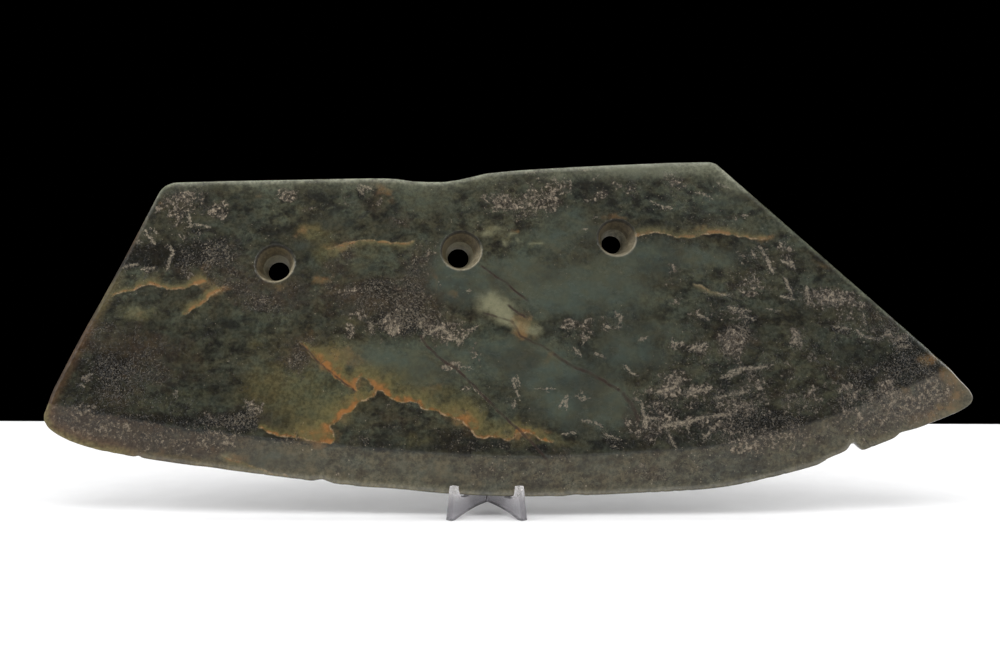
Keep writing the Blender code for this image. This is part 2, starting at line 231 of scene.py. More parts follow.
# Soft patches of colour and crust: place along and up the face, half length, half height and strength
PATCHES = {
    "clear": [
        (-19, 88, 14, 9, 0.9), (-25, 104, 6, 10, 0.6), (-25.5, 94, 6, 8, 0.7),
        (-61, 95.5, 9.5, 5, 0.5), (1, 95, 13.5, 5.5, 0.8), (-12, 87, 13.5, 5.5, 0.7),
        (-36.5, 126, 17, 8, 0.5), (-75.5, 117, 13.5, 6.5, 0.4), (-86.5, 105.5, 5.5, 4.5, 0.6),
        (-51.5, 56.5, 20.5, 8.5, 0.7), (-18.5, 56.5, 20.5, 10.5, 0.6), (-35, 48, 18, 6.5, 0.6),
        (1, 56.5, 10.5, 10.5, 0.6), (18, 85, 20.5, 12, 1), (45, 86.5, 24, 15.5, 0.72),
        (62, 100.5, 20.5, 9.5, 0.65), (18.5, 109, 16, 8.5, 0.6), (85.5, 99, 16, 5.5, 0.7),
        (25.5, 120, 10.5, 4.5, 0.5), (96.5, 113.5, 11, 4.5, 0.4), (90.5, 126, 11, 6.5, 0.5),
        (17.5, 48.5, 17, 10.5, 1), (40.5, 38.5, 11, 10.5, 1), (27, 35.5, 20.5, 9.5, 0.9),
        (47.5, 60, 12.5, 8.5, 0.8), (60.5, 55.5, 11, 6.5, 0.5), (64, 68, 12.5, 4.5, 0.6),
        (11.5, 58.5, 10.5, 5.5, 0.7), (-82, 12, 17, 4.5, 0.45), (-40.5, 12.5, 24, 4.5, 0.4),
        (-27.5, 7.5, 20.5, 3.5, 0.5), (33, 12.5, 17, 5.5, 0.35),
        (-95, 15, 10.5, 5, 0.6), (-28.7, 92, 7, 6, 0.85), (34.8, 112, 6, 4, 0.85), (57, 139, 22, 4, 0.8),
    ],
    "olive": [
        (-86.5, 43, 18, 18.5, 0.8), (-70, 36.5, 11, 8.5, 0.7), (-58, 43, 4, 4.5, 0.6),
        (-48, 48, 17, 4.5, 0.5), (-31.5, 41, 17, 4.5, 0.7), (-16.5, 32.5, 8, 4.5, 0.8),
        (-6.5, 27.5, 9, 3.5, 0.8), (-72.5, 60, 8, 4.5, 0.5), (-36, 21, 6, 2.5, 0.8),
        (-37.5, 24, 3.5, 2, 0.5), (-79.5, 32.5, 10.5, 4.5, 0.5), (4, 21, 9, 2, 0.5),
        (-104.5, 62.5, 4, 3, 0.6), (-101.5, 45, 5, 6.5, 0.7), (-129, 40.5, 9, 3, 0.5),
        (-109.5, 41, 7, 4.5, 0.4), (-108, 14.5, 17, 3, 0.6), (-133, 16, 8, 2, 0.9),
        (-172, 66, 4, 4.5, 0.3), (-83.5, 111, 8, 3.5, 0.9), (-77.5, 102, 5, 5, 0.95),
        (-8, 110.5, 5, 3, 0.6), (-54.5, 102.5, 13.5, 3.5, 0.4), (-1, 107, 3.5, 1.5, 0.5),
        (-65.5, 70.5, 4, 3, 0.5), (-154.5, 75, 7.5, 3.5, 0.8), (-131.5, 77.5, 6, 3.5, 0.5),
        (-129.5, 89, 6, 2.5, 0.5), (-96, 88.5, 4, 3.5, 0.7), (-153.5, 132.5, 8, 3, 0.4),
        (10.5, 106.5, 4, 2, 0.6), (19.5, 21.5, 11, 2.5, 0.6), (8, 70.5, 5.5, 4.5, 0.8),
        (21, 55.5, 7.5, 2, 0.4), (184, 44, 7, 5, 0.8), (176, 33, 10, 2.5, 0.9), (178, 54, 5, 3, 0.8),
        (144, 24, 8, 2.5, 0.6),
    ],
    "rust": [
        (-129, 89.5, 5, 2.5, 1), (-122, 85.5, 4, 2, 1), (-129.5, 79.5, 4, 1.5, 0.5),
        (-155, 74.5, 4, 1.5, 0.5), (-128, 95.5, 4, 1.5, 0.3), (-181, 69, 4, 7, 0.55),
        (-67, 57.5, 6, 4, 0.6), (-61, 54, 6, 4, 0.35), (-31, 43, 6, 3, 0.4), (-148.5, 89, 6, 2, 0.4),
        (-148.5, 123.5, 2.5, 1.5, 0.5), (-107, 128.5, 2.5, 3, 0.3), (-185.5, 50, 2.5, 14.5, 0.4),
        (-153.5, 17.5, 7, 2, 0.6), (-141, 16, 3.5, 2, 0.5), (-155, 49, 5.5, 4.5, 0.25),
        (-111, 15, 6, 2, 0.7), (-120.5, 19, 6, 2, 0.5), (-176, 25, 4, 2, 0.4),
        (-88, 111.5, 3.5, 2, 0.65), (-78, 89.5, 3.5, 2.6, 0.8), (-70.5, 105, 6, 2.5, 0.7),
        (-53, 130, 4, 2.5, 0.7), (-57.5, 132.5, 4, 1.5, 0.5), (-50, 125, 2.5, 2, 0.4),
        (-31.5, 88, 1.5, 5.5, 0.4), (-24, 83, 2.5, 2, 0.6), (3, 111, 2, 1.5, 0.6),
        (4.5, 73, 3.5, 3, 0.5), (6.5, 69, 2.5, 2, 0.6), (-95, 87, 2.5, 2, 0.45), (-74, 55, 5, 4.5, 1),
        (-77.5, 24, 8, 4.5, 1), (-63, 38, 4, 3, 0.9), (-67.5, 32.5, 3.5, 3, 0.8), (-55, 46, 5, 2, 0.7),
        (-63.5, 45, 2.5, 3.5, 0.7), (-19.5, 32.5, 6, 3.5, 0.8), (-14.5, 27.5, 3.5, 3.5, 0.7),
        (-3.5, 23.5, 6, 1.5, 0.8), (-81.5, 66, 4, 3, 0.3), (4, 25, 3.5, 2, 0.7), (5, 66.5, 4, 3.5, 0.6),
        (46, 118.5, 7.5, 2, 0.5), (83.5, 112, 6, 1.5, 0.5), (107, 107.5, 3.5, 1.5, 0.7),
        (5, 71, 3.5, 3.5, 0.5), (11, 24.5, 5, 2, 0.9), (6, 66, 3.5, 2, 0.7), (18, 56, 4, 2, 0.5),
        (92.5, 64, 2.5, 3.5, 0.6), (37, 47.5, 2.5, 1, 0.4), (108.5, 108, 3.5, 1.5, 0.8),
        (133.5, 96.5, 4, 2, 0.4), (173.5, 57.5, 4, 3, 0.8), (125.5, 84, 1.5, 3, 0.4),
        (180.5, 48, 5.5, 4, 0.8), (182, 40, 5, 3, 0.8), (170, 31, 9, 3, 0.9), (149, 24, 6, 2, 0.4),
        (173, 56.5, 3.5, 2, 0.8), (154.5, 44.5, 2.5, 1.5, 0.4), (181.5, 50, 4, 3, 0.7),
        (178.5, 36, 6, 2, 0.8), (162, 43, 3, 2, 0.6), (187, 42, 3, 2.5, 0.5),
    ],
    "cream": [
        (-7.6, 78.8, 5.5, 5, 1), (-2.5, 75.5, 6, 4, 0.9), (-1.0, 73.5, 4, 3, 0.9), (4.5, 70, 4, 3, 0.8),
        (9.3, 67.3, 4, 2.5, 0.7), (5, 106.4, 1.5, 1, 0.5),
        (-3.7, 112, 3.5, 2, 0.35), (-154, 75.5, 5, 3, 0.35),
        (-113.7, 16.1, 4.5, 2.2, 0.7), (-9, 110.3, 2, 1.5, 0.6), (-1, 107.2, 2.2, 1.2, 0.7),
        (2, 110.3, 2, 1.1, 0.7), (11.8, 106.7, 2.4, 1.1, 0.7), (-5.5, 111.9, 1.6, 1, 0.6),
    ],
    "brown": [
        (-123.5, 101, 16, 8.5, 0.8), (-112.5, 88, 15, 9.5, 0.7), (-142, 95, 10.5, 3, 0.5),
        (-141.5, 127.5, 7.5, 4.5, 0.5), (-102, 80, 10.5, 4.5, 0.7), (-153.5, 60, 27.5, 10.5, 0.8),
        (-174, 66, 12.5, 6.5, 0.5), (-146, 48, 24, 8.5, 0.5), (-161.5, 39, 13.5, 5, 0.5),
        (-108.5, 30.5, 11, 5, 0.8), (-118.5, 30.5, 13.5, 3.5, 0.5), (-180, 30, 9.5, 5.5, 0.6),
        (-55.5, 83, 29, 10.5, 0.8), (-38.5, 95.5, 7.5, 11.5, 0.7), (-38.5, 73, 20.5, 8, 0.7),
        (-91.5, 84.5, 7.5, 8.5, 0.7), (-59.5, 124.5, 9, 6.5, 0.5), (-45.5, 116.5, 8, 5, 0.5),
        (-68, 102.5, 9, 5, 0.5), (-74, 95.5, 6, 5, 0.5), (-86, 56.5, 9, 9.5, 0.8),
        (-42, 30, 11, 5, 0.5), (-60, 21.5, 5.5, 4.5, 0.5), (-12, 9.5, 10.5, 6.5, 0.6),
        (-67, 12.5, 5.5, 6.5, 0.5), (93, 64, 7.5, 6.5, 0.7), (19, 12.5, 9, 8.5, 0.6),
        (37.5, 7.5, 5.5, 5, 0.4), (87.5, 12.5, 20.5, 8.5, 0.35), (50, 32, 5, 11.5, 0.5),
        (60, 25.5, 11, 6.5, 0.5), (134, 83, 13.5, 5.5, 0.6), (95.5, 64, 6, 5.5, 0.7),
        (156.5, 71.5, 8, 7, 0.6), (166, 53, 12.5, 6.5, 0.45), (154.5, 36, 24, 8.5, 0.6),
        (128, 25.5, 20.5, 6.5, 0.6), (93.5, 62.5, 5.5, 6.5, 0.8), (173.5, 45.5, 8, 6.5, 0.5),
        (112.5, 39, 13.5, 5.5, 0.4), (153.5, 47.5, 5.5, 4.5, 0.5), (135, 49, 9.5, 4.5, 0.5),
        (184, 43, 6, 5, 0.6), (56, 9, 9, 4, 0.95), (-57, 137, 7, 4, 0.8), (170, 35, 10, 4, 0.5),
    ],
    "dark": [
        (162, 54.5, 11, 6, 0.9), (98, 52, 9, 6, 0.6), (-152, 101, 13, 6, 0.8), (-127, 104, 12, 6, 0.7),
        (-150.5, 100.5, 13, 5, 1), (-169, 50, 14, 9, 0.45), (-90, 22.5, 13, 4, 0.4),
        (-53, 85, 7, 5, 0.4), (170, 60, 7, 5, 0.5), (-181, 30, 7, 5, 0.4), (-127, 101, 15, 9.5, 0.6),
        (-132, 112.5, 4, 1.5, 0.8),
        (-137, 98.5, 10.5, 4.5, 0.5), (-147.5, 121.5, 4, 3, 0.3), (-163, 50, 7.5, 4.5, 0.8),
        (-152, 30.5, 22.5, 2.5, 0.8), (-143, 30, 8, 2, 0.7), (-125, 28.5, 17, 3, 0.7),
        (-107.5, 30.5, 7.5, 5, 1), (-145, 38, 20.5, 8.5, 0.35), (-171.5, 42, 12.5, 5.5, 0.3),
        (-62.5, 128.5, 2.5, 3, 0.8), (-59.5, 125, 8, 4.5, 0.4), (-63, 112.5, 4, 2, 0.5),
        (-43, 78.5, 15, 10.5, 0.45), (-55.5, 88, 10.5, 4.5, 0.4),
        (-37, 70.5, 17, 4.5, 0.6), (-49, 73, 9, 6, 0.45), (-38.5, 69, 8, 3.5, 0.8),
        (-47.5, 28.5, 15, 8, 0.25), (-18.5, 23.5, 24, 4.5, 0.7), (-12, 19, 24, 2, 0.8),
        (-60, 22, 8, 4.5, 0.5), (-36.5, 32.5, 7, 3.5, 0.4), (-86, 54, 7, 5, 0.5),
        (-17, 33.5, 3.5, 2, 0.7), (-6.5, 28, 1, 1.5, 1), (61, 127.5, 7.5, 2, 0.6),
        (62.5, 121.5, 7.5, 2.5, 0.6), (52.5, 118.5, 3.5, 3.5, 0.5), (67, 90.5, 3.5, 6.5, 0.4),
        (103, 74, 8, 4.5, 0.4), (91, 71, 13.5, 4.5, 0.3), (13, 19.5, 4, 2, 1), (43, 21, 11, 2, 0.8),
        (76, 37.5, 22.5, 9.5, 0.5), (96, 68, 6, 2, 0.8), (59, 23, 10.5, 3.5, 0.6),
        (72.5, 24.5, 6, 3.5, 0.6), (98, 29.5, 10.5, 4.5, 0.9), (66, 34.5, 10.5, 3.5, 0.5),
        (28, 65, 8, 4.5, 0.3), (95.5, 68, 6, 3, 0.6), (136.5, 68, 6, 2.5, 0.6), (130, 84.5, 6, 3, 0.4),
        (163.5, 62, 5.5, 4.5, 0.6), (135.5, 87.5, 4, 2, 0.5), (109, 30, 16, 4.5, 1),
        (94.5, 26.5, 8, 3, 0.9), (140.5, 38.5, 9, 3, 0.8), (142.5, 48.5, 6, 2.5, 0.6),
        (166, 53, 11.5, 5.5, 0.7), (175, 53.5, 4, 3, 0.6), (152.5, 41, 5.5, 3, 0.6),
        (113, 41, 8, 3, 0.4), (107, 49, 10.5, 4.5, 0.3), (-161, 98, 8, 5, 0.75), (-163, 55, 12, 7, 0.55),
        (-88, 22, 6, 3.5, 1), (-47, 72, 7, 4.5, 0.5), (170, 59.5, 6, 4, 0.8), (-56, 137.5, 6, 3, 0.75),
        (143.6, 46.8, 7, 4, 0.75), (177.5, 52.5, 3, 1.2, 0.8), (162, 46, 4, 2.5, 0.6),
    ],
    "crust": [
        (-7, 126, 10, 5, 0.55), (6, 122, 8, 5.5, 0.65), (18, 125.5, 7, 5, 0.65), (-138, 125, 9, 4, 0.5),
        (-127, 121, 7, 4, 0.55), (177.5, 41, 4, 3, 0.9), (168, 38.5, 5, 3, 0.9),
        (-136, 128, 5.5, 3, 0.6), (-123.5, 123.5, 5, 2, 0.9), (-123.5, 118.5, 2.5, 2, 1),
        (-142, 118.5, 4, 4.5, 0.7), (-142, 127.5, 5.5, 4.5, 0.45), (-95, 127.5, 3.5, 3.5, 0.9),
        (-148.5, 122, 4, 2, 0.6), (-151, 107, 5, 3, 0.35), (-138, 109, 4, 2.5, 0.45),
        (-151.5, 92.5, 4, 2, 0.5), (-134, 92, 2, 2, 0.7), (-105.5, 80, 7.5, 4.5, 0.35),
        (-177, 34.5, 9, 4.5, 0.55), (-163.5, 30, 13.5, 4.5, 0.7), (-166.5, 25, 15, 5, 0.65),
        (-144, 24, 18, 5, 0.7), (-119, 21.5, 9, 3.5, 1), (-130.5, 19.5, 8, 3, 0.7),
        (-103.5, 36, 6, 3.5, 0.7), (-120, 32, 4, 3, 0.5), (-172, 48, 5, 3, 0.5),
        (-145.5, 41, 15, 6.5, 0.25), (-183.5, 32.5, 4, 5.5, 0.3), (-95, 127.5, 4, 4, 0.9),
        (-60.5, 131.5, 5.5, 2.5, 0.7), (-70.5, 123.5, 3, 3, 0.6), (-54, 125, 1.5, 1.5, 1),
        (-84, 122, 5, 3, 0.45), (-45.5, 117, 7.5, 4.5, 0.4), (-7.5, 126, 5, 2.5, 0.7),
        (-2, 122, 5, 4.5, 0.8), (3.5, 116.5, 2.5, 2, 0.6), (-45, 84.5, 22.5, 9.5, 0.24),
        (-38.5, 76, 22.5, 9.5, 0.2), (-60.5, 75, 6, 4.5, 0.5), (-32.5, 101, 6, 6.5, 0.5),
        (-67, 85.5, 5.5, 2, 0.8), (-24.5, 68.5, 9, 3.5, 0.8), (-48.5, 69.5, 4, 3.5, 0.7),
        (-65, 68.5, 2.5, 3, 0.7), (-25, 66, 7.5, 4, 0.9), (-47.5, 67.5, 3, 3, 0.8),
        (-65.5, 68, 2.5, 2.5, 0.8), (-23.5, 53, 4, 2.5, 0.9), (-16.5, 43, 2, 3, 0.8),
        (-82, 63.5, 2, 1.5, 0.6), (-88.5, 54, 3.5, 3, 0.5), (-13.5, 58, 6, 3.5, 0.45),
        (-43.5, 36.5, 7.5, 2, 0.5), (-47, 27, 4, 3, 0.4), (-26.5, 25.5, 5.5, 1.5, 0.5),
        (-67, 12, 4, 6.5, 0.3), (-12.5, 10.5, 9, 6.5, 0.35), (-9.5, 35.5, 3.5, 2, 0.4),
        (10.5, 125.5, 5, 4, 1), (18.5, 124.5, 4.5, 3.5, 1), (21.5, 132.5, 6, 4, 0.85),
        (10, 132, 2.5, 2, 0.7), (39.5, 128.5, 4, 2.5, 0.9), (47, 134, 2.5, 2, 0.8),
        (69, 137, 5.5, 3, 0.7), (72.5, 133.5, 5, 3.5, 0.6), (53, 132, 5, 3, 0.6),
        (12.5, 137.5, 7.5, 1.5, 0.6), (32.5, 140, 5.5, 1.5, 0.6), (96, 118.5, 4, 2, 0.6),
        (71.5, 93.5, 3.5, 3, 0.6), (67.5, 89.5, 3, 5.5, 0.4), (68.5, 81, 4, 2, 0.5),
        (98.5, 88.5, 10.5, 8.5, 0.4), (81, 75.5, 7.5, 3.5, 0.5), (32.5, 126, 4, 3, 0.3),
        (26.5, 71, 6, 2.5, 0.9), (33, 69, 4, 4.5, 0.7), (31, 65, 3, 3.5, 0.6), (42, 69, 4, 3, 0.6),
        (68, 48, 6, 3.5, 0.8), (64.5, 42.5, 5.5, 2.5, 0.9), (78, 42.5, 7, 2.5, 0.8),
        (70, 62, 4, 2.5, 0.6), (78.5, 60.5, 5.5, 3, 0.7), (93, 63.5, 5, 5.5, 0.7),
        (74, 29.5, 16, 3, 0.6), (61.5, 33.5, 9, 4.5, 0.5), (59, 26, 9, 5.5, 0.55),
        (90.5, 36.5, 7.5, 3.5, 0.6), (85.5, 26, 8, 4.5, 0.5), (100.5, 45.5, 7.5, 4.5, 0.35),
        (68, 12.5, 13.5, 5.5, 0.2), (97.5, 20.5, 10.5, 4.5, 0.7), (49.5, 27.5, 2.5, 4.5, 0.5),
        (52.5, 40.5, 4, 4.5, 0.4), (80, 55.5, 9, 3.5, 0.3), (76, 37.5, 20.5, 8.5, 0.3),
        (134, 81.5, 11.5, 5, 0.8), (145, 79, 4, 2, 0.7), (118, 102, 4, 5, 0.7),
        (109.5, 98.5, 3.5, 5, 0.5), (99, 100, 2.5, 2, 0.5), (103, 88, 5.5, 4.5, 0.45),
        (118.5, 65, 5, 5, 0.6), (138.5, 73.5, 11.5, 7, 0.4), (149.5, 66.5, 11.5, 4.5, 0.45),
        (161, 64, 5.5, 3.5, 0.5), (96, 75, 8, 3, 0.5), (153, 87.5, 4, 3, 0.3),
        (93.5, 62.5, 4, 6.5, 0.8), (115.5, 51, 6, 4.5, 0.5), (102.5, 44.5, 6, 3.5, 0.35),
        (124.5, 56.5, 2.5, 2, 0.7), (132.5, 56, 2.5, 1.5, 0.7), (139, 42.5, 6, 3, 0.6),
        (150.5, 51.5, 2.5, 1, 0.6), (154.5, 44.5, 3.5, 2, 1), (116, 38, 11.5, 6.5, 0.4),
        (96.5, 36, 9.5, 5.5, 0.5), (158, 39, 9, 4.5, 0.8), (166, 35, 6, 3.5, 0.75), (174.5, 42, 5.5, 5, 1),
        (170.5, 45.5, 5.5, 3, 0.7), (141, 32, 13.5, 4.5, 0.55), (147, 26.5, 10.5, 4.5, 0.45),
        (111.5, 23, 15, 4.5, 0.8), (98.5, 18.5, 13.5, 4.5, 0.5), (154, 30.5, 10.5, 4.5, 0.45),
        (163.5, 30.5, 6, 3, 0.5), (143.5, 21.5, 4, 2, 0.5), (129.5, 44.5, 17, 10.5, 0.3),
    ],
}

# Chalky scars left by roots and grit: both ends and the width of each, in mm
SCARS = [
    (-144, 105, -141.5, 102, 0.8), (-141.5, 102, -143, 98.5, 1), (-143, 98.5, -143.5, 95, 0.8),
    (-163, 95, -159.5, 96, 0.4), (-159.5, 96, -156, 96.5, 0.8), (-158.5, 107, -156, 106.5, 0.8),
    (-154.5, 112, -152, 108.5, 1), (-152, 108.5, -150, 106, 0.8), (-151.5, 112.5, -149, 110.5, 0.5),
    (-136, 113.5, -133, 114.5, 0.7), (-133, 114.5, -127, 113.5, 0.5), (-136.5, 119, -135.5, 115.5, 1.5),
    (-154, 94.5, -149, 95, 0.4), (-150, 121, -148.5, 122, 1.1), (-172.5, 48, -171, 49, 0.7),
    (-175.5, 45, -173.5, 44, 0.5), (-135.5, 42, -135, 40.5, 1.2), (-114.5, 24, -110.5, 19.5, 0.7),
    (-107, 38, -104.5, 34, 0.5), (-57.5, 70.5, -56.5, 67, 0.7), (-36.5, 71.5, -36, 69.5, 0.8),
    (-64, 133, -59.5, 131, 1), (-64.5, 131, -62.5, 128.5, 0.8), (-57.5, 69.5, -56.5, 66.5, 0.7),
    (-49, 69, -47.5, 65.5, 1.1), (-46, 69.5, -47.5, 65.5, 1), (-32.5, 66.5, -28.5, 69, 1),
    (-28.5, 69, -24.5, 65.5, 1.5), (-24.5, 65.5, -19.5, 62.5, 1.8), (-20.5, 61.5, -18, 66, 1),
    (-18, 66, -12.5, 70, 0.8), (-36, 64, -34, 67.5, 0.4), (-19, 52, -15.5, 52, 0.6),
    (-15, 44.5, -12.5, 42, 0.5), (-12.5, 42, -8.5, 38.5, 0.6), (1.5, 48, 3, 43, 0.8),
    (3, 43, 4.5, 39, 0.6), (3.5, 48, 4.5, 45, 1), (2, 35.5, 2.5, 38, 1.2), (-26.5, 52, -21, 54, 1.5),
    (81, 129, 84, 128.5, 0.7), (84, 128.5, 87, 126.5, 0.8), (90, 133.5, 94.5, 131.5, 0.8),
    (61, 125, 65.5, 123, 0.7), (65.5, 123, 66.5, 121.5, 0.5), (67.5, 122.5, 69.5, 122, 1),
    (36, 134.5, 39, 137.5, 0.3), (103, 102.5, 104.5, 99.5, 0.5), (78.5, 74.5, 83, 72.5, 1.2),
    (92, 77.5, 95.5, 76.5, 0.7), (95.5, 76.5, 100.5, 76, 0.5), (32.5, 139.5, 37, 140.5, 1),
    (44.5, 75.5, 45.5, 73.5, 0.7), (47, 74.5, 45.5, 69, 0.4), (88, 83.5, 92, 83, 0.3),
    (11.5, 43, 18.5, 43, 0.6), (20.5, 35, 22, 37.5, 0.8), (22, 37.5, 23, 40, 0.3),
    (23.5, 35, 24, 40, 0.8), (28, 40, 29.5, 38.5, 0.6), (29.5, 38.5, 32.5, 39, 0.8),
    (29.5, 42.5, 30.5, 40, 0.4), (30, 30, 34, 29.5, 0.8), (34, 29.5, 37.5, 27.5, 0.7),
    (38.5, 24.5, 44, 22.5, 0.5), (47.5, 53, 49.5, 50.5, 1.2), (49.5, 50.5, 52.5, 48.5, 0.6),
    (62, 27.5, 66.5, 28.5, 2.3), (66.5, 28.5, 73, 29.5, 2.1), (73, 29.5, 79, 31.5, 1.6),
    (79, 31.5, 85.5, 32, 1.1), (85.5, 32, 88.5, 32.5, 1), (54.5, 31.5, 60, 30.5, 0.8),
    (54, 37.5, 54.5, 32, 1.5), (54.5, 32, 55.5, 27, 2.1), (60.5, 41.5, 67, 43.5, 1.8),
    (67, 43.5, 70, 47.5, 1.6), (73, 41, 82.5, 43.5, 1.6), (87, 48, 92, 48.5, 1.2),
    (92, 48.5, 96, 51, 1), (96, 51, 105.5, 52.5, 0.7), (83.5, 39, 89, 40.5, 0.5),
    (89, 40.5, 98, 42, 0.5), (27.5, 60, 29.5, 57.5, 1), (36, 58, 39, 56.5, 1), (54, 63.5, 57, 65, 1),
    (68, 62, 72, 62.5, 0.8), (67.5, 64, 68.5, 60, 0.5), (74.5, 59, 77.5, 61.5, 0.8),
    (77.5, 59, 81, 62, 1), (30.5, 62, 31.5, 64, 0.9), (40, 70, 42, 69, 1), (45.5, 69, 47, 72.5, 0.4),
    (64, 25.5, 67, 19.5, 0.8), (79, 23, 81.5, 26, 1), (22, 24.5, 26.5, 25, 0.6),
    (72, 29, 72.5, 25.5, 0.7), (106, 105, 109, 100, 0.9),
    (109, 100, 111, 93, 1.8), (115, 106.5, 116, 103.5, 0.8), (115.5, 98, 120, 96, 1.5),
    (119.5, 98, 120.5, 94.5, 0.6), (116, 90, 118.5, 84, 1.2), (114, 82.5, 119, 81.5, 0.9),
    (125, 86.5, 125, 81.5, 1.6), (132.5, 81, 135.5, 84.5, 0.8), (135.5, 81, 142, 81, 0.5),
    (147.5, 74.5, 148, 70.5, 0.5), (92.5, 78, 96, 77, 0.5), (96, 77, 100, 76, 0.5),
    (97.5, 74, 102, 72.5, 0.5), (108, 77, 113.5, 76, 0.3), (134.5, 69.5, 140.5, 68.5, 0.8),
    (144.5, 67.5, 146, 65.5, 1.2), (146, 65.5, 153.5, 63.5, 0.5), (154.5, 65, 157, 67.5, 0.5),
    (118, 68.5, 120, 66.5, 0.7), (120, 66.5, 120.5, 61.5, 0.9), (160, 63.5, 164.5, 64.5, 0.5),
    (161, 60.5, 166, 61.5, 0.5), (119.5, 67.5, 117.5, 62.5, 0.5), (90, 41, 96, 42, 0.4),
    (90.5, 50, 94, 51.5, 1.2), (94, 51.5, 100.5, 52, 0.8), (100.5, 52, 108, 53, 0.5),
    (146.5, 42, 147.5, 38.5, 0.5), (155, 41, 159, 42.5, 1.2), (155, 36.5, 158, 38.5, 0.8),
    (159.5, 36, 163.5, 34.5, 1), (173, 43, 175.5, 45, 1.2), (173.5, 40, 176.5, 41, 1),
    (53, 12, 53.5, 12, 1.3), (41.5, 19.5, 42, 19.5, 1.3), (32.5, 112.5, 33, 112.5, 1.3),
    (36.5, 118, 37.5, 118, 1.3), (100.5, 118.5, 101.5, 118.5, 1.3), (-17, 85, -16, 85, 1.3),
]


class BladeAxes:
    """The blade's own axes, read from its solid: along it, up its face and into its thickness."""

    def __init__(self, mesh):
        normals = np.array([face.normal for face in mesh.polygons])
        areas = np.array([face.area for face in mesh.polygons])
        in_front = normals[:, 1] < -0.5
        order = np.argsort(normals[in_front, 2])
        share = np.cumsum(areas[in_front][order])
        tilt = normals[in_front, 2][order][np.searchsorted(share, share[-1] / 2)]
        self.lean = math.asin(tilt)
        self.turn = np.array([(1, 0, 0),
                              (0, math.sin(self.lean), math.cos(self.lean)),
                              (0, math.cos(self.lean), -math.sin(self.lean))])
        corners = np.array([vertex.co for vertex in mesh.vertices])
        placed = corners @ self.turn.T
        lowest, highest = placed.min(0), placed.max(0)
        self.start = np.array([(lowest[0] + highest[0]) / 2 + DRAWN_FROM * MM, lowest[1], lowest[2]])
        self.thickness = (highest[2] - lowest[2]) / MM

    def to_blade(self, points):
        """Points in the row frame as along, up and deep, in mm."""
        return (np.asarray(points) @ self.turn.T - self.start) / MM

    def to_frame(self, points):
        """Points along, up and deep in mm as points in the row frame."""
        return (np.asarray(points) * MM + self.start) @ self.turn


def merged_copy(obj):
    """A bmesh of a solid with its loose triangles joined."""
    bm = bmesh.new()
    bm.from_mesh(obj.data)
    bmesh.ops.remove_doubles(bm, verts=bm.verts, dist=MM / 1000)
    bmesh.ops.recalc_face_normals(bm, faces=bm.faces)
    return bm


def sections(solid, axes, depth):
    """The closed lines, along and up in mm, where a solid is crossed at a depth; the longest first."""
    bm = solid.copy()
    cut = bmesh.ops.bisect_plane(bm, geom=bm.verts[:] + bm.edges[:] + bm.faces[:],
                                 plane_co=axes.to_frame((0, 0, depth)), plane_no=axes.turn[2])
    cut_edges = [part for part in cut["geom_cut"] if isinstance(part, bmesh.types.BMEdge)]
    left = set(cut_edges)
    loops = []
    for edge in cut_edges:
        if edge not in left:
            continue
        left.discard(edge)
        start, vertex = edge.verts
        loop = [start.co.copy()]
        while vertex != start:
            loop.append(vertex.co.copy())
            step = next(beyond for beyond in vertex.link_edges if beyond in left)
            left.discard(step)
            vertex = step.other_vert(vertex)
        loops.append(axes.to_blade(loop)[:, :2])
    bm.free()
    return sorted(loops, key=lambda loop: -np.ptp(loop[:, 0]))


def even_loop(loop, step):
    """A closed line's points, spread evenly about a step apart."""
    closed = np.vstack([loop, loop[:1]])
    reached = np.concatenate([[0], np.cumsum(np.linalg.norm(np.diff(closed, axis=0), axis=1))])
    places = np.linspace(0, reached[-1], max(3, round(reached[-1] / step)), endpoint=False)
    return np.column_stack([np.interp(places, reached, closed[:, axis]) for axis in (0, 1)])


def soften_loop(loop, rounds):
    """A closed line with its corners worn round."""
    for _ in range(rounds):
        loop = (np.roll(loop, 1, 0) + 2 * loop + np.roll(loop, -1, 0)) / 4
    return loop


def inward(loop):
    """The direction into the stone at each point of an anticlockwise closed line."""
    along = np.roll(loop, -1, 0) - np.roll(loop, 1, 0)
    normal = np.column_stack([-along[:, 1], along[:, 0]])
    return normal / np.linalg.norm(normal, axis=1, keepdims=True)


def anticlockwise(loop):
    following = np.roll(loop, -1, 0)
    area = np.sum(loop[:, 0] * following[:, 1] - following[:, 0] * loop[:, 1])
    return loop if area > 0 else loop[::-1]


def rolling(points, size, seed):
    """Smooth random heights from -1 to 1 over the face, with bumps about a given size in mm."""
    side = 97
    heights = np.random.default_rng(seed).uniform(-1, 1, (side, side))
    place = points[:, :2] / size + 11.3
    corner = np.floor(place).astype(int)
    part = place - corner
    part = part * part * (3 - 2 * part)
    left, low = corner[:, 0] % side, corner[:, 1] % side
    right, high = (left + 1) % side, (low + 1) % side
    bottom = heights[left, low] * (1 - part[:, 0]) + heights[right, low] * part[:, 0]
    top = heights[left, high] * (1 - part[:, 0]) + heights[right, high] * part[:, 0]
    return bottom * (1 - part[:, 1]) + top * part[:, 1]


def frayed(route, step, sway, seed):
    """A drawn line refined to short steps and made to waver a little, with its other values carried."""
    route = np.asarray(route, float)
    reached = np.concatenate([[0], np.cumsum(np.linalg.norm(np.diff(route[:, :2], axis=0), axis=1))])
    places = np.linspace(0, reached[-1], max(2, round(reached[-1] / step)))
    fine = np.column_stack([np.interp(places, reached, values) for values in route.T])
    fine[:, 0] += sway * rolling(fine, 2.2, seed)
    fine[:, 1] += sway * rolling(fine, 2.2, seed + 1)
    return fine


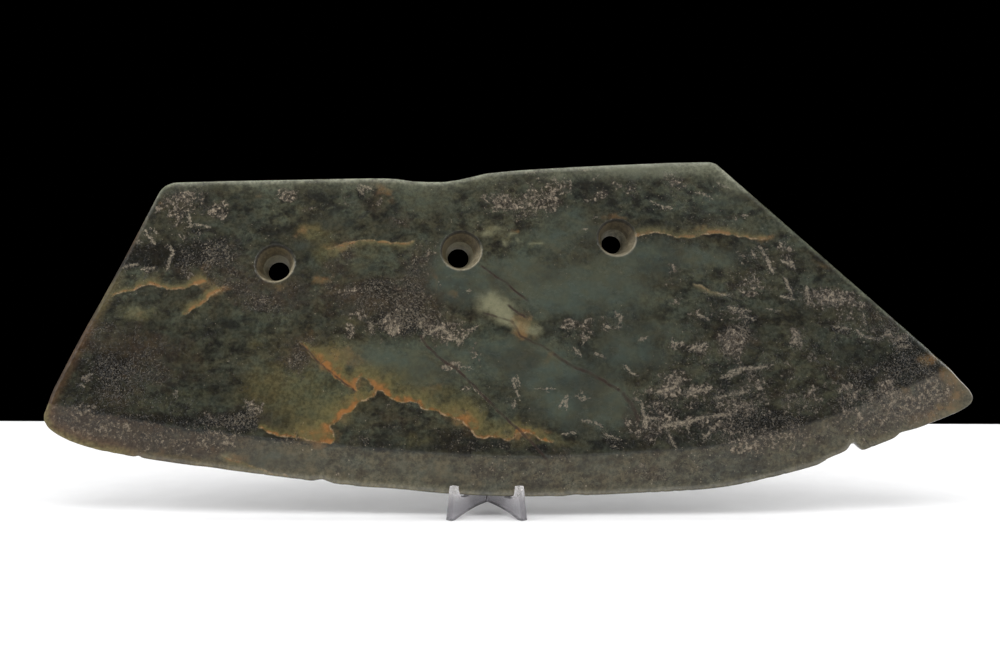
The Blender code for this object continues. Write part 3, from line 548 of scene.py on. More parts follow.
def beside(points, route):
    """How far each point lies from a line, which side of it, and where along it, from 0 to 1."""
    points = points[:, :2]
    distance = np.full(len(points), 1e9)
    side = np.ones(len(points))
    share = np.zeros(len(points))
    for index, (start, end) in enumerate(zip(route[:-1, :2], route[1:, :2])):
        step = end - start
        away = points - start
        t = np.clip(away @ step / (step @ step), 0, 1)
        gap = np.linalg.norm(away - t[:, None] * step, axis=1)
        nearer = gap < distance
        distance[nearer] = gap[nearer]
        left = step[0] * away[:, 1] - step[1] * away[:, 0] >= 0
        side[nearer] = np.where(left[nearer], 1, -1)
        share[nearer] = (index + t[nearer]) / (len(route) - 1)
    return distance, side, share


def near_line(points, route, reach):
    """The numbers of the points inside a box round a line."""
    low, high = route[:, :2].min(0) - reach, route[:, :2].max(0) + reach
    return np.flatnonzero(((points[:, :2] > low) & (points[:, :2] < high)).all(1))


def rim_depth(distance, thickness):
    """How deep below the face the rounded rim lies at a distance in from the outline."""
    left = np.clip(1 - distance / RIM_REACH, 0, 1)
    return thickness / 2 * (1 - np.sqrt(1 - left * left))


class BladeForm:
    """The blade's outline, holes and faces, read from its solid."""

    def __init__(self, solid, axes):
        self.axes = axes
        self.tree = BVHTree.FromBMesh(solid)
        self.thickness = axes.thickness
        middle = sections(solid, axes, self.thickness * MIDDLE_SHARE)
        fine = even_loop(anticlockwise(middle[0]), FINE_STEP)
        self.fine = self.worn(soften_loop(fine, SOFTENING_ROUNDS))
        self.fine_inward = inward(self.fine)
        self.near_rim = KDTree(len(self.fine))
        for index, point in enumerate(self.fine):
            self.near_rim.insert((point[0], point[1], 0), index)
        self.near_rim.balance()
        centres = sorted((loop.mean(0) for loop in middle[1:]), key=lambda centre: centre[0])
        self.holes = [self.drilling(solid, centre) for centre in centres]

    def worn(self, loop):
        """The outline with small losses along it, most of them on the cutting edge."""
        low = np.clip((45 - loop[:, 1]) / 20, 0, 1)
        least, more = OUTLINE_WEAR
        loss = least + more * np.clip(rolling(loop, 3.1, 5), 0, 1)
        for size, seed, rarity, depth in EDGE_WEAR:
            loss += low * depth * np.clip(rolling(loop, size, seed) - rarity, 0, 1)
        for along, up, reach, depth in LOSSES:
            loss += depth * np.exp(-((loop[:, 0] - along) ** 2 + (loop[:, 1] - up) ** 2) / reach ** 2)
        return loop + inward(loop) * loss[:, None]

    def drilling(self, solid, centre):
        """A hole's middle and radius at each depth, as rows of depth, along, up and radius."""
        rows = []
        for depth in np.array(DRILL_SHARES) * self.thickness:
            nearest = min(sections(solid, self.axes, depth),
                          key=lambda loop: np.linalg.norm(loop.mean(0) - centre) + np.ptp(loop[:, 0]) / 10)
            middle = nearest.mean(0)
            rows.append((depth, *middle, np.linalg.norm(nearest - middle, axis=1).mean()))
        return np.array(rows)

    def rim_distance(self, points):
        """How far in from the outline points lie, and the nearest outline point's number."""
        found = [self.near_rim.find((point[0], point[1], 0)) for point in points]
        return np.array([hit[2] for hit in found]), np.array([hit[1] for hit in found])

    def cast(self, points, side):
        """The depth of the solid's front (side 1) or back (side -1) under points along and up."""
        outside = -self.thickness / 2 if side > 0 else self.thickness * 1.5
        starts = self.axes.to_frame(np.column_stack([points, np.full(len(points), outside)]))
        direction = Vector(self.axes.turn[2] * side)
        middle = self.axes.to_frame(np.column_stack([points, np.full(len(points), self.thickness / 2)]))
        hits = []
        for start, deepest in zip(starts, middle):
            place = self.tree.ray_cast(Vector(start), direction, 2 * self.thickness * MM)[0]
            hits.append(deepest if place is None else place)
        return self.axes.to_blade(np.array(hits))[:, 2]


def hole_loop(row, extra=0.0):
    """The points round a hole at one depth."""
    angles = np.linspace(0, math.tau, HOLE_SIDES, endpoint=False)
    radius = row[3] + extra
    return np.column_stack([row[1] + radius * np.cos(angles), row[2] + radius * np.sin(angles)])


def triangles(outline, hole_loops, loose):
    """Triangles inside an outline and outside its holes, and where each given point went."""
    edges = []
    loop_of = []
    for number, loop in enumerate([outline, *hole_loops]):
        first = len(loop_of)
        edges += [(first + index, first + (index + 1) % len(loop)) for index in range(len(loop))]
        loop_of += [number] * len(loop)
    points = np.vstack([outline, *hole_loops, loose])
    found = geometry.delaunay_2d_cdt([Vector(point) for point in points], edges, [], 0, 1e-5, True)
    places = np.array([tuple(vertex) for vertex in found[0]])
    faces = np.array(found[2])
    number_of = np.full(len(loop_of), -1)
    given = np.full(len(places), -1)
    for index, sources in enumerate(found[3]):
        for source in sources:
            if source < len(loop_of):
                number_of[source] = index
                given[index] = source
    corners = given[faces]
    loops = np.where(corners >= 0, np.array(loop_of)[corners], -1)
    on_one_loop = (loops[:, 0] >= 0) & (loops[:, 0] == loops[:, 1]) & (loops[:, 1] == loops[:, 2])
    rising = (np.roll(corners, -1, 1) > corners).sum(1) == 2
    outside = on_one_loop & ((loops[:, 0] > 0) | ~rising)
    return places, faces[~outside], number_of


def smooth_step(values, low, high):
    share = np.clip((values - low) / (high - low), 0, 1)
    return share * share * (3 - 2 * share)


def patch_field(points, patches, seed, sway=1.6):
    """How strongly a kind of patch shows at each point, from 0 to 1."""
    along = points[:, 0] + sway * rolling(points, 5.0, seed) + sway / 2 * rolling(points, 2.1, seed + 1)
    up = points[:, 1] + sway * rolling(points, 5.0, seed + 2) + sway / 2 * rolling(points, 2.1, seed + 3)
    clear_of = np.ones(len(points))
    for place_along, place_up, half_length, half_height, strength in patches:
        away = ((along - place_along) / half_length) ** 2 + ((up - place_up) / half_height) ** 2
        clear_of *= 1 - strength * np.exp(-away)
    return 1 - clear_of


def fade_at_ends(share, route):
    """1 along a line, falling to 0 over its last millimetre and a half."""
    length = np.linalg.norm(np.diff(route[:, :2], axis=0), axis=1).sum()
    return np.clip(np.minimum(share, 1 - share) * length / 1.5, 0, 1)


def vein_fields(points):
    """Distance across the nearest vein, positive in its stain, and the stain, core and hue there."""
    across, stain, core, hue = (np.zeros(len(points)) for _ in range(4))
    for number, (vein_hue, width, route) in enumerate(VEINS.values()):
        fine = frayed(route, 0.8, 0.45, VEIN_SEED + 2 * number)
        close = near_line(points, fine, VEIN_REACH)
        distance, side, share = beside(points[close], fine)
        reach = np.interp(share * (len(fine) - 1), np.arange(len(fine)), fine[:, 2])
        ends = fade_at_ends(share, fine)
        spread = ends * np.exp(-distance / reach)
        stronger = spread > stain[close]
        chosen = close[stronger]
        stain[chosen] = spread[stronger]
        across[chosen] = (distance * side)[stronger]
        core[chosen] = (ends * width * np.clip(1.8 - distance, 0, 1))[stronger]
        hue[chosen] = vein_hue
    return across, stain, core, hue


def crack_fields(points):
    """Distance across the nearest crack, as a share of its width, and how dark the crack is."""
    across = np.full(len(points), 4.0)
    dark = np.zeros(len(points))
    for number, (strength, width, route) in enumerate(CRACKS.values()):
        fine = frayed(route, 0.9, 0.25, CRACK_SEED + 2 * number)
        close = near_line(points, fine, CRACK_REACH)
        distance, side, share = beside(points[close], fine)
        here = strength * fade_at_ends(share, fine) * np.clip(2.4 - distance, 0, 1)
        stronger = here > dark[close]
        chosen = close[stronger]
        dark[chosen] = here[stronger]
        across[chosen] = (distance * side / width)[stronger]
    return across, dark


def scar_fields(points):
    """Distance across the nearest chalky scar, and its half width there, below 0 away from it."""
    across = np.full(len(points), 2.0)
    width = np.full(len(points), -1.0)
    nearest = np.full(len(points), SCAR_REACH)
    for along, up, far_along, far_up, whole_width in SCARS:
        ends = np.array([(along, up), (far_along, far_up)])
        middle, half = ends.mean(0), np.linalg.norm(ends[1] - ends[0]) / 2
        close = np.flatnonzero(np.linalg.norm(points[:, :2] - middle, axis=1) < half + 2.0)
        distance, side, share = beside(points[close], ends)
        nearer = distance < nearest[close]
        chosen = close[nearer]
        nearest[chosen] = distance[nearer]
        across[chosen] = (distance * side)[nearer]
        taper = np.clip(np.minimum(share, 1 - share)[nearer] * 5 + 0.45, 0, 1)
        past_end = np.clip((distance[nearer] - 0.9) / 0.8, 0, 1)
        width[chosen] = whole_width / 2 * taper * (1 - past_end) - past_end
    return across, width


def mirrored(points):
    """Where the back takes its patches from, so that the two faces don't repeat each other."""
    moved = points.copy()
    moved[:, 0] = -0.86 * points[:, 0] + 6
    return moved


def relief(points, side):
    """How far the worn stone lies below the true face, in mm."""
    source = points if side > 0 else mirrored(points)
    crust = patch_field(source, PATCHES["crust"], CRUST_SEED)
    sunk = np.full(len(points), SUNK + FACE_WEAR)
    for height, size, seed in WAVES:
        sunk += height * rolling(source, size, seed)
    grit = 0.5 * rolling(source, 1.5, 312) + 0.5 * rolling(source, 2.7, 313)
    sunk -= crust * CRUST_HEIGHT * (grit + 0.3)
    across, dark = crack_fields(source)
    sunk += CRACK_DEPTH * dark * np.exp(-(across * 0.5) ** 2)
    pits = np.clip(rolling(source, 2.3, 314) - 0.62, 0, 1)
    pits *= np.clip(rolling(source, 21.0, 315) + 0.4, 0, 1)
    return sunk + PIT_DEPTH * pits


def lattice(low, high, spacing):
    """Points in rows of even triangles over a box, each nudged a little so that no lines show."""
    columns = np.arange(low[0], high[0], spacing)
    rows = np.arange(low[1], high[1], spacing * math.sqrt(3) / 2)
    grid = np.array([(x + (spacing / 2 if number % 2 else 0), y) for number, y in enumerate(rows)
                     for x in columns])
    return grid + np.random.default_rng(GRID_SEED).uniform(-GRID_NUDGE, GRID_NUDGE, grid.shape) * spacing


def loose_points(form, outline, row, spacing):
    """Rings of points inside the outline and a lattice within them, clear of the holes."""
    rings = [(outline + inward(outline) * inset, inset * 0.8) for inset in RIM_RINGS]
    grid = lattice(outline.min(0), outline.max(0), spacing)
    loose = []
    for points, least in [*rings, (grid, RIM_RINGS[-1] + spacing * CLEARANCE)]:
        distance, nearest = form.rim_distance(points)
        keep = ((points - form.fine[nearest]) * form.fine_inward[nearest]).sum(1) > 0
        keep &= distance > least
        for hole in form.holes:
            away = np.linalg.norm(points - hole[row, 1:3], axis=1)
            keep &= away > hole[row, 3] + LIP_REACH + spacing * CLEARANCE
        loose.append(points[keep])
    return np.vstack(loose)


def evened(depth, faces, free):
    """Depths with the free points drawn towards their neighbours'."""
    edges = np.vstack([faces[:, [0, 1]], faces[:, [1, 2]], faces[:, [2, 0]]])
    for _ in range(EVENING_ROUNDS):
        total = np.zeros(len(depth))
        count = np.zeros(len(depth))
        np.add.at(total, edges[:, 0], depth[edges[:, 1]])
        np.add.at(count, edges[:, 0], 1)
        depth = np.where(free & (count > 0), (depth + total / np.maximum(count, 1)) / 2, depth)
    return depth


def blade_side(form, outline, side, spacing):
    """One side's points (along, up, deep), its triangles, the numbers of the outline's and the holes'
    points, and how far each point is ground."""
    row = 0 if side > 0 else -1
    hole_loops = [hole_loop(hole[row], LIP_REACH) for hole in form.holes]
    loose = loose_points(form, outline, row, spacing)
    places, faces, number_of = triangles(outline, hole_loops, loose)
    on_outline, on_holes = np.split(number_of, [len(outline)])
    distance, nearest = form.rim_distance(places)
    distance[on_outline] = 0.0

    def depth_at_least_in(inset):
        moved = places + form.fine_inward[nearest] * np.clip(inset - distance, 0, None)[:, None]
        depth = form.cast(moved, side)
        return depth if side > 0 else form.thickness - depth

    depth = np.maximum(depth_at_least_in(FACE_INSET), rim_depth(distance, form.thickness))
    ground = smooth_step(depth_at_least_in(GROUND_INSET), 0.05, 0.9)
    free = distance > RIM_REACH
    free[on_holes] = False
    depth = evened(depth, faces, free) + relief(places, side) * smooth_step(distance, 0.2, 2.0)
    depth = np.clip(depth, SUNK, form.thickness / 2)
    depth[on_outline] = form.thickness / 2
    if side < 0:
        depth = form.thickness - depth
        faces = faces[:, ::-1]
    return np.column_stack([places, depth]), faces, number_of, ground


def hole_rings(form, hole):
    """The rings of a drilled hole's wall between its two lips, from front to back."""
    wall = [(depth, 0.0) for depth in np.linspace(WALL_DEPTH, form.thickness - WALL_DEPTH, WALL_RINGS)]
    behind = [(form.thickness - depth, extra) for depth, extra in reversed(LIP_CURVE)]
    angles = np.linspace(0, math.tau, HOLE_SIDES, endpoint=False)
    rings = []
    for depth, extra in [*LIP_CURVE, *wall, *behind]:
        row = [np.interp(depth, hole[:, 0], values) for values in hole.T]
        ring = hole_loop(row, extra)
        groove = GROOVE_DEPTH * (0.5 + 0.5 * math.sin(depth * 6.1)) * (1 + 0.6 * np.sin(angles * 2 + depth))
        ring += (ring - row[1:3]) / row[3] * groove[:, None]
        rings.append(np.column_stack([ring, np.full(HOLE_SIDES, depth)]))
    return rings


def blade_points_and_faces(form):
    """The whole blade as points along, up and deep, its faces, and how far each point is ground."""
    outline = even_loop(form.fine, OUTLINE_STEP)
    front, front_faces, front_number, front_ground = blade_side(form, outline, 1, FRONT_SPACING)
    back, back_faces, back_number, back_ground = blade_side(form, outline, -1, BACK_SPACING)
    offset = len(front)
    shared = np.zeros(len(back), bool)
    shared[back_number[:len(outline)]] = True
    back_to_all = offset + np.cumsum(~shared) - 1
    back_to_all[back_number[:len(outline)]] = front_number[:len(outline)]
    points = [front, back[~shared]]
    ground = [front_ground, back_ground[~shared]]
    faces = front_faces.tolist() + back_to_all[back_faces].tolist()
    total = offset + len(points[1])
    for number, hole in enumerate(form.holes):
        first = len(outline) + number * HOLE_SIDES
        loops = [front_number[first:first + HOLE_SIDES]]
        for ring in hole_rings(form, hole):
            points.append(ring)
            ground.append(np.zeros(HOLE_SIDES))
            loops.append(np.arange(total, total + HOLE_SIDES))
            total += HOLE_SIDES
        loops.append(back_to_all[back_number[first:first + HOLE_SIDES]])
        for loop, following in zip(loops, loops[1:]):
            for side in range(HOLE_SIDES):
                after = (side + 1) % HOLE_SIDES
                faces.append([loop[side], loop[after], following[after], following[side]])
    return np.vstack(points), faces, np.concatenate(ground)


def above_ridge(points, ground):
    """How far up the face each point lies from where the ground bevel starts, in mm."""
    on_bevel = points[ground > 0.03]
    places = np.arange(on_bevel[:, 0].min(), on_bevel[:, 0].max(), 2.0)
    heights = []
    for place in places:
        close = np.abs(on_bevel[:, 0] - place) < 1.5
        heights.append(on_bevel[close, 1].max() if close.any() else heights[-1])
    heights = np.convolve(np.pad(heights, 3, "edge"), np.full(7, 1 / 7), "valid")
    return points[:, 1] - np.interp(points[:, 0], places, heights)


def set_attribute(mesh, name, values):
    mesh.attributes.new(name, "FLOAT", "POINT").data.foreach_set("value", np.asarray(values, np.float32))


def ridge_field(points, ground, in_front):
    """How far up the face each point lies from where its own side's bevel starts, in mm."""
    ridge = np.full(len(points), 50.0)
    for face in (in_front, ~in_front):
        ridge[face] = above_ridge(points[face], ground[face])
    return ridge


def hole_fields(form, points, in_front):
    """How far outside the nearest hole's rim each point lies, and from -1 to 1 how far below its middle.

    The first is -1 on a drilled wall's front half and -3 on its back half.
    """
    from_hole = np.full(len(points), 9.0)
    below_hole = np.zeros(len(points))
    for hole in form.holes:
        middle = [np.interp(points[:, 2], hole[:, 0], hole[:, column]) for column in (1, 2)]
        away = np.hypot(points[:, 0] - middle[0], points[:, 1] - middle[1])
        from_rim = away - np.where(in_front, hole[0, 3], hole[-1, 3])
        on_wall = np.abs(points[:, 2] - form.thickness / 2) < form.thickness / 2 - 0.5
        on_wall &= away < hole[:, 3].max() + 0.5
        from_rim[on_wall] = np.where(in_front[on_wall], -1.0, -3.0)
        nearer = from_rim < from_hole
        from_hole[nearer] = from_rim[nearer]
        lower = 0.94 * (middle[1] - points[:, 1]) + 0.34 * (points[:, 0] - middle[0])
        below_hole[nearer] = (lower / np.maximum(away, 0.1))[nearer]
    return from_hole, below_hole


def mark_stone(mesh, form, ground):
    """Stores on the mesh where each kind of marking lies."""
    coordinates = np.zeros(len(mesh.vertices) * 3)
    mesh.vertices.foreach_get("co", coordinates)
    points = form.axes.to_blade(coordinates.reshape(-1, 3))
    in_front = points[:, 2] < form.thickness / 2
    source = np.where(in_front[:, None], points, mirrored(points))
    marks = {name: patch_field(source, patches, PATCH_SEED + 10 * number)
             for number, (name, patches) in enumerate(PATCHES.items())}
    for names, values in (("vein_across vein_stain vein_core vein_hue", vein_fields(points)),
                          ("crack_across crack_dark", crack_fields(source)),
                          ("scar_across scar_width", scar_fields(points)),
                          ("from_hole below_hole", hole_fields(form, points, in_front))):
        marks.update(zip(names.split(), values))
    marks["scar_width"] = np.where(in_front, marks["scar_width"], -1.0)
    marks["rim_distance"] = form.rim_distance(points)[0]
    marks["front"] = np.clip((0.6 - points[:, 2] / form.thickness) / 0.3, 0, 1)
    marks["above_ridge"] = ridge_field(points, ground, in_front)
    for name, values in marks.items():
        set_attribute(mesh, name, values)


def object_from(name, points, faces, material):
    mesh = bpy.data.meshes.new(name)
    mesh.from_pydata([tuple(point) for point in points], [], faces)
    mesh.materials.append(material)
    bm = bmesh.new()
    bm.from_mesh(mesh)
    bmesh.ops.recalc_face_normals(bm, faces=bm.faces)
    bm.to_mesh(mesh)
    bm.free()
    mesh.shade_smooth()
    obj = bpy.data.objects.new(name, mesh)
    bpy.context.scene.collection.objects.link(obj)
    return obj


def jade_blade(material):
    """The blade with its worn outline, lips, relief and markings."""
    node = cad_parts["axe_blade"]
    solid = merged_copy(node)
    axes = BladeAxes(node.data)
    form = BladeForm(solid, axes)
    points, faces, ground = blade_points_and_faces(form)
    blade = object_from("jade_blade", axes.to_frame(points), faces, material)
    mark_stone(blade.data, form, ground)
    solid.free()
    return blade


class Recipe:
    """Adds nodes to a material or a node group and joins them up."""

    def __init__(self, tree):
        self.tree = tree

    def add(self, kind, inputs=(), **settings):
        node = self.tree.nodes.new(kind)
        for name, value in settings.items():
            setattr(node, name, value)
        for socket, value in dict(inputs).items():
            self.feed(node.inputs[socket], value)
        return node

    def feed(self, socket, value):
        if isinstance(value, bpy.types.NodeSocket):
            self.tree.links.new(value, socket)
        else:
            socket.default_value = value

    def math(self, operation, *values, clamp=False):
        inputs = dict(enumerate(values))
        return self.add("ShaderNodeMath", inputs, operation=operation, use_clamp=clamp).outputs[0]

    def times(self, first, *others, clamp=False):
        for value in others:
            first = self.math("MULTIPLY", first, value, clamp=clamp)
        return first

    def plus(self, first, second):
        return self.math("ADD", first, second)

    def inverse(self, mask):
        return self.math("SUBTRACT", 1.0, mask)

    def raised(self, value, *lifts):
        """A value with masks added, each times its own amount."""
        for mask, amount in lifts:
            value = self.plus(value, self.times(mask, amount))
        return value

    def mix(self, share, first, second, blend="MIX"):
        """Two colours mixed; the sockets 0, 6, 7 and 2 are the share, both colours and the result."""
        inputs = {0: share, 6: first, 7: second}
        return self.add("ShaderNodeMix", inputs, data_type="RGBA", blend_type=blend).outputs[2]

    def shaded(self, colour, mask, shade):
        """The colour multiplied by a shade where the mask says."""
        return self.mix(1.0, colour, self.mix(mask, (1.0, 1.0, 1.0, 1.0), shade), "MULTIPLY")

    def between(self, value, low, high, to_low=0.0, to_high=1.0):
        inputs = {"Value": value, "From Min": low, "From Max": high, "To Min": to_low, "To Max": to_high}
        return self.add("ShaderNodeMapRange", inputs, interpolation_type="SMOOTHSTEP").outputs["Result"]

    def attribute(self, name):
        return self.add("ShaderNodeAttribute", attribute_name=name).outputs["Fac"]

    def noise(self, place, size, detail=3.0, roughness=0.55, shift=0.0):
        """Cloudy values round 0.5, with bumps about a size across in mm."""
        moved = self.add("ShaderNodeMapping", {"Vector": place, "Location": (shift, shift / 2, shift / 3)})
        inputs = {"Vector": moved.outputs[0], "Scale": 1 / size, "Detail": detail, "Roughness": roughness}
        return self.add("ShaderNodeTexNoise", inputs).outputs["Fac"]


def new_group(name, values):
    """A node group that turns a place and named values into a mask: its recipe, inputs and output."""
    group = bpy.data.node_groups.new(name, "ShaderNodeTree")
    group.interface.new_socket("Place", in_out="INPUT", socket_type="NodeSocketVector")
    for label, value in values.items():
        socket = group.interface.new_socket(label, in_out="INPUT", socket_type="NodeSocketFloat")
        socket.default_value = value
    group.interface.new_socket("Mask", in_out="OUTPUT", socket_type="NodeSocketFloat")
    recipe = Recipe(group)
    return recipe, recipe.add("NodeGroupInput").outputs, recipe.add("NodeGroupOutput").inputs["Mask"]


def ragged_patch_group():
    """Turns a soft amount into a patch with a ragged edge."""
    recipe, given, mask = new_group("ragged_patch", {"Amount": 0.5, "Size": 3.0, "Ragged": 0.6,
                                                     "Softness": 0.1})
    scale = recipe.math("DIVIDE", 1.0, given["Size"])
    cloud = recipe.add("ShaderNodeTexNoise", {"Vector": given["Place"], "Scale": scale, "Detail": 4.0,
                                              "Roughness": 0.62}).outputs["Fac"]
    swing = recipe.times(recipe.math("SUBTRACT", cloud, 0.5), given["Ragged"])
    level = recipe.plus(given["Amount"], recipe.times(swing, 2.4))
    low = recipe.math("SUBTRACT", 0.5, given["Softness"])
    high = recipe.plus(0.5, given["Softness"])
    recipe.feed(mask, recipe.between(level, low, high))
    return recipe.tree


def flecks_group():
    """Ragged flecks of many sizes; more of the surface is covered as the density rises to 1."""
    recipe, given, mask = new_group("flecks", {"Size": 1.0, "Density": 0.3, "Softness": 0.03})
    scale = recipe.math("DIVIDE", 1.0, given["Size"])
    cloud = recipe.add("ShaderNodeTexNoise", {"Vector": given["Place"], "Scale": scale, "Detail": 3.5,
                                              "Roughness": 0.68, "Distortion": 0.35}).outputs["Fac"]
    level = recipe.plus(cloud, recipe.times(given["Density"], 0.24))
    high = recipe.plus(0.69, given["Softness"])
    recipe.feed(mask, recipe.between(level, 0.69, high))
    return recipe.tree


def specks_group():
    """Small separate grains; more of them show as the density rises to 1."""
    recipe, given, mask = new_group("specks", {"Size": 1.5, "Density": 0.3, "Reach": 0.34})
    scale = recipe.math("DIVIDE", 1.0, given["Size"])
    cells = recipe.add("ShaderNodeTexVoronoi", {"Vector": given["Place"], "Scale": scale})
    chance = recipe.add("ShaderNodeSeparateColor", {"Color": cells.outputs["Color"]}).outputs
    reach = recipe.times(given["Reach"], recipe.between(chance["Green"], 0.0, 1.0, 0.45, 1.0))
    grain = recipe.between(cells.outputs["Distance"], reach, recipe.times(reach, 0.55))
    shown = recipe.math("GREATER_THAN", given["Density"], chance["Red"])
    recipe.feed(mask, recipe.times(grain, shown))
    return recipe.tree


def tone(red, green, blue):
    """A colour given as it looks, in 0 to 255, as the shader's linear values."""
    levels = [value / 255 for value in (red, green, blue)]
    return (*(((level + 0.055) / 1.055) ** 2.4 if level > 0.04 else level / 12.92 for level in levels), 1.0)


class StoneRecipe(Recipe):
    """A recipe for stone: the place on the blade in mm, its clouds and the masks of what is laid on it."""

    def __init__(self, material, lean, groups):
        super().__init__(material.node_tree)
        self.groups = groups
        self.masks = {}
        on_object = self.add("ShaderNodeTexCoord").outputs["Object"]
        mapping = self.add("ShaderNodeMapping", {"Vector": on_object, "Rotation": (lean, 0, 0),
                                                 "Scale": (1 / MM, 1 / MM, 1 / MM)})
        self.place = mapping.outputs[0]
        self.along, _, self.height = self.add("ShaderNodeSeparateXYZ", {"Vector": self.place}).outputs
        self.rightward = self.between(self.along, -50, 60)
        turned = {"Vector": self.place, "Rotation": (0, 0, GRAIN_TURN), "Scale": (GRAIN_STRETCH, 1, 1)}
        self.grain = self.add("ShaderNodeMapping", turned, vector_type="TEXTURE").outputs[0]
        self.drift = self.noise(self.grain, 15.0, 5.0, 0.55)
        self.mottle = self.noise(self.grain, 4.5, 6.0, 0.66, 40)
        self.fine = self.noise(self.place, 1.5, 5.0, 0.7, 80)
        self.wander = self.sway(2.4, 2.0, 3.0, 0.5)

    def patch(self, amount, size, ragged, softness):
        return self.add("ShaderNodeGroup", {"Place": self.place, "Amount": amount, "Size": size,
                                            "Ragged": ragged, "Softness": softness},
                        node_tree=self.groups["ragged_patch"]).outputs["Mask"]

    def flecks(self, size, density, softness=0.03):
        return self.add("ShaderNodeGroup", {"Place": self.place, "Size": size, "Density": density,
                                            "Softness": softness},
                        node_tree=self.groups["flecks"]).outputs["Mask"]

    def specks(self, size, density, reach=0.34):
        return self.add("ShaderNodeGroup", {"Place": self.place, "Size": size, "Density": density,
                                            "Reach": reach},
                        node_tree=self.groups["specks"]).outputs["Mask"]

    def sway(self, size, reach, detail, roughness, shift=0.0, centre=0.5):
        """Cloudy values round 0 that spread over about a reach."""
        cloud = self.noise(self.place, size, detail, roughness, shift)
        return self.times(self.math("SUBTRACT", cloud, centre), reach)

    def clouded(self, first, second, size, detail, roughness, shift, low=0.4, high=0.6):
        """One named tone drifting into another in clouds."""
        cloud = self.noise(self.place, size, detail, roughness, shift)
        return self.mix(self.between(cloud, low, high), stone_tone(first), stone_tone(second))

    def cover(self, colour, mask, amount, shade):
        """The colour with another laid over it where the mask says."""
        return self.mix(self.times(mask, amount), colour, shade)


def stone_tone(name):
    """One of the stone's tones as the shader's linear values."""
    return tone(*TONES[name])


def new_material(name):
    material = bpy.data.materials.new(name)
    material.use_nodes = True
    shader = next(node for node in material.node_tree.nodes if node.type == "BSDF_PRINCIPLED")
    return material, shader


def stone_body(stone):
    """Two greens drifting into each other along the grain, mottled with darker stone."""
    clear = stone.patch(stone.attribute("clear"), 9.0, 0.30, 0.38)
    stone.masks["clear"] = clear
    drift = stone.between(stone.drift, 0.38, 0.62)
    colour = stone.mix(drift, stone_tone("deep_green"), stone_tone("grey_green"))
    dull = stone.math("SUBTRACT", 0.9, stone.times(clear, 0.8))
    return stone.cover(colour, stone.between(stone.mottle, 0.43, 0.64), dull, stone_tone("mottling"))


def add_large_patches(stone, colour):
    """Clear, olive, brown and near-black stone."""
    drift = stone.between(stone.drift, 0.36, 0.6)
    clear_tone = stone.mix(drift, stone_tone("clear_dark"), stone_tone("clear_light"))
    colour = stone.cover(colour, stone.masks["clear"], 0.88, clear_tone)
    for name, size, ragged, softness, amount in (("olive", 7.0, 0.25, 0.4, 0.75),
                                                 ("brown", 6.0, 0.5, 0.34, 0.7),
                                                 ("dark", 4.5, 0.5, 0.3, 0.85)):
        stone.masks[name] = stone.patch(stone.attribute(name), size, ragged, softness)
        colour = stone.cover(colour, stone.masks[name], amount, stone_tone(name))
    return colour


def add_ground_bevel(stone, colour):
    """The ground bevel, duller than the face, paler in its own tone and brightened further as painted light,
    with a dark band above its upper edge.
    """
    sway = stone.sway(9.0, 5.0, 4.0, 0.6, 27)
    ridge = stone.plus(stone.attribute("above_ridge"), stone.wander)
    patchy = stone.between(stone.noise(stone.place, 16.0, 4.0, 0.6, 61), 0.3, 0.55, 0.3, 1.0)
    band = stone.times(stone.between(stone.plus(ridge, sway), 7.0, 0.8), patchy)
    colour = stone.cover(colour, band, 0.5, stone_tone("above_bevel"))
    ragged = stone.times(sway, stone.between(stone.along, -60, -110, 0.12, 0.8))
    ground = stone.between(stone.plus(ridge, ragged), 0.7, -0.9)
    stone.masks["ground"] = ground
    mottle = stone.between(stone.mottle, 0.4, 0.62)
    ground_tone = stone.mix(mottle, stone_tone("bevel_light"), stone_tone("bevel_dark"))
    ground_tone = stone.mix(stone.between(stone.along, -80, -130), ground_tone, stone_tone("bevel_left"))
    colour = stone.cover(colour, ground, 0.4, ground_tone)
    # painted light: the ground bevel's colour multiplied brighter
    return stone.shaded(colour, ground, (1.21, 1.205, 1.2, 1.0))


def vary_hue(stone, colour):
    """The hue wanders between blue-grey and brown at two scales."""
    for size, shift, cool, warm in ((17.0, 7, (0.92, 0.97, 1.01, 1.0), (1.01, 0.97, 0.93, 1.0)),
                                    (3.0, 19, (0.94, 0.98, 1.03, 1.0), (1.03, 0.98, 0.93, 1.0))):
        cloud = stone.noise(stone.grain, size, 3.0, 0.5, shift)
        tint = stone.mix(stone.between(cloud, 0.36, 0.64), cool, warm)
        colour = stone.mix(1.0, colour, tint, "MULTIPLY")
    return colour


def add_warm_patches(stone, colour):
    """Rust and cream near the surface."""
    rust = stone.patch(stone.attribute("rust"), 3.2, 0.35, 0.4)
    colour = stone.cover(colour, rust, 0.7, stone.clouded("rust_dull", "rust", 3.0, 3.0, 0.5, 3, 0.4, 0.62))
    cream = stone.patch(stone.attribute("cream"), 4.0, 0.2, 0.5)
    stone.masks.update(rust=rust, cream=cream)
    cream_tone = stone.mix(rust, stone_tone("cream"), stone_tone("rusty_cream"))
    return stone.cover(colour, cream, 0.85, cream_tone)


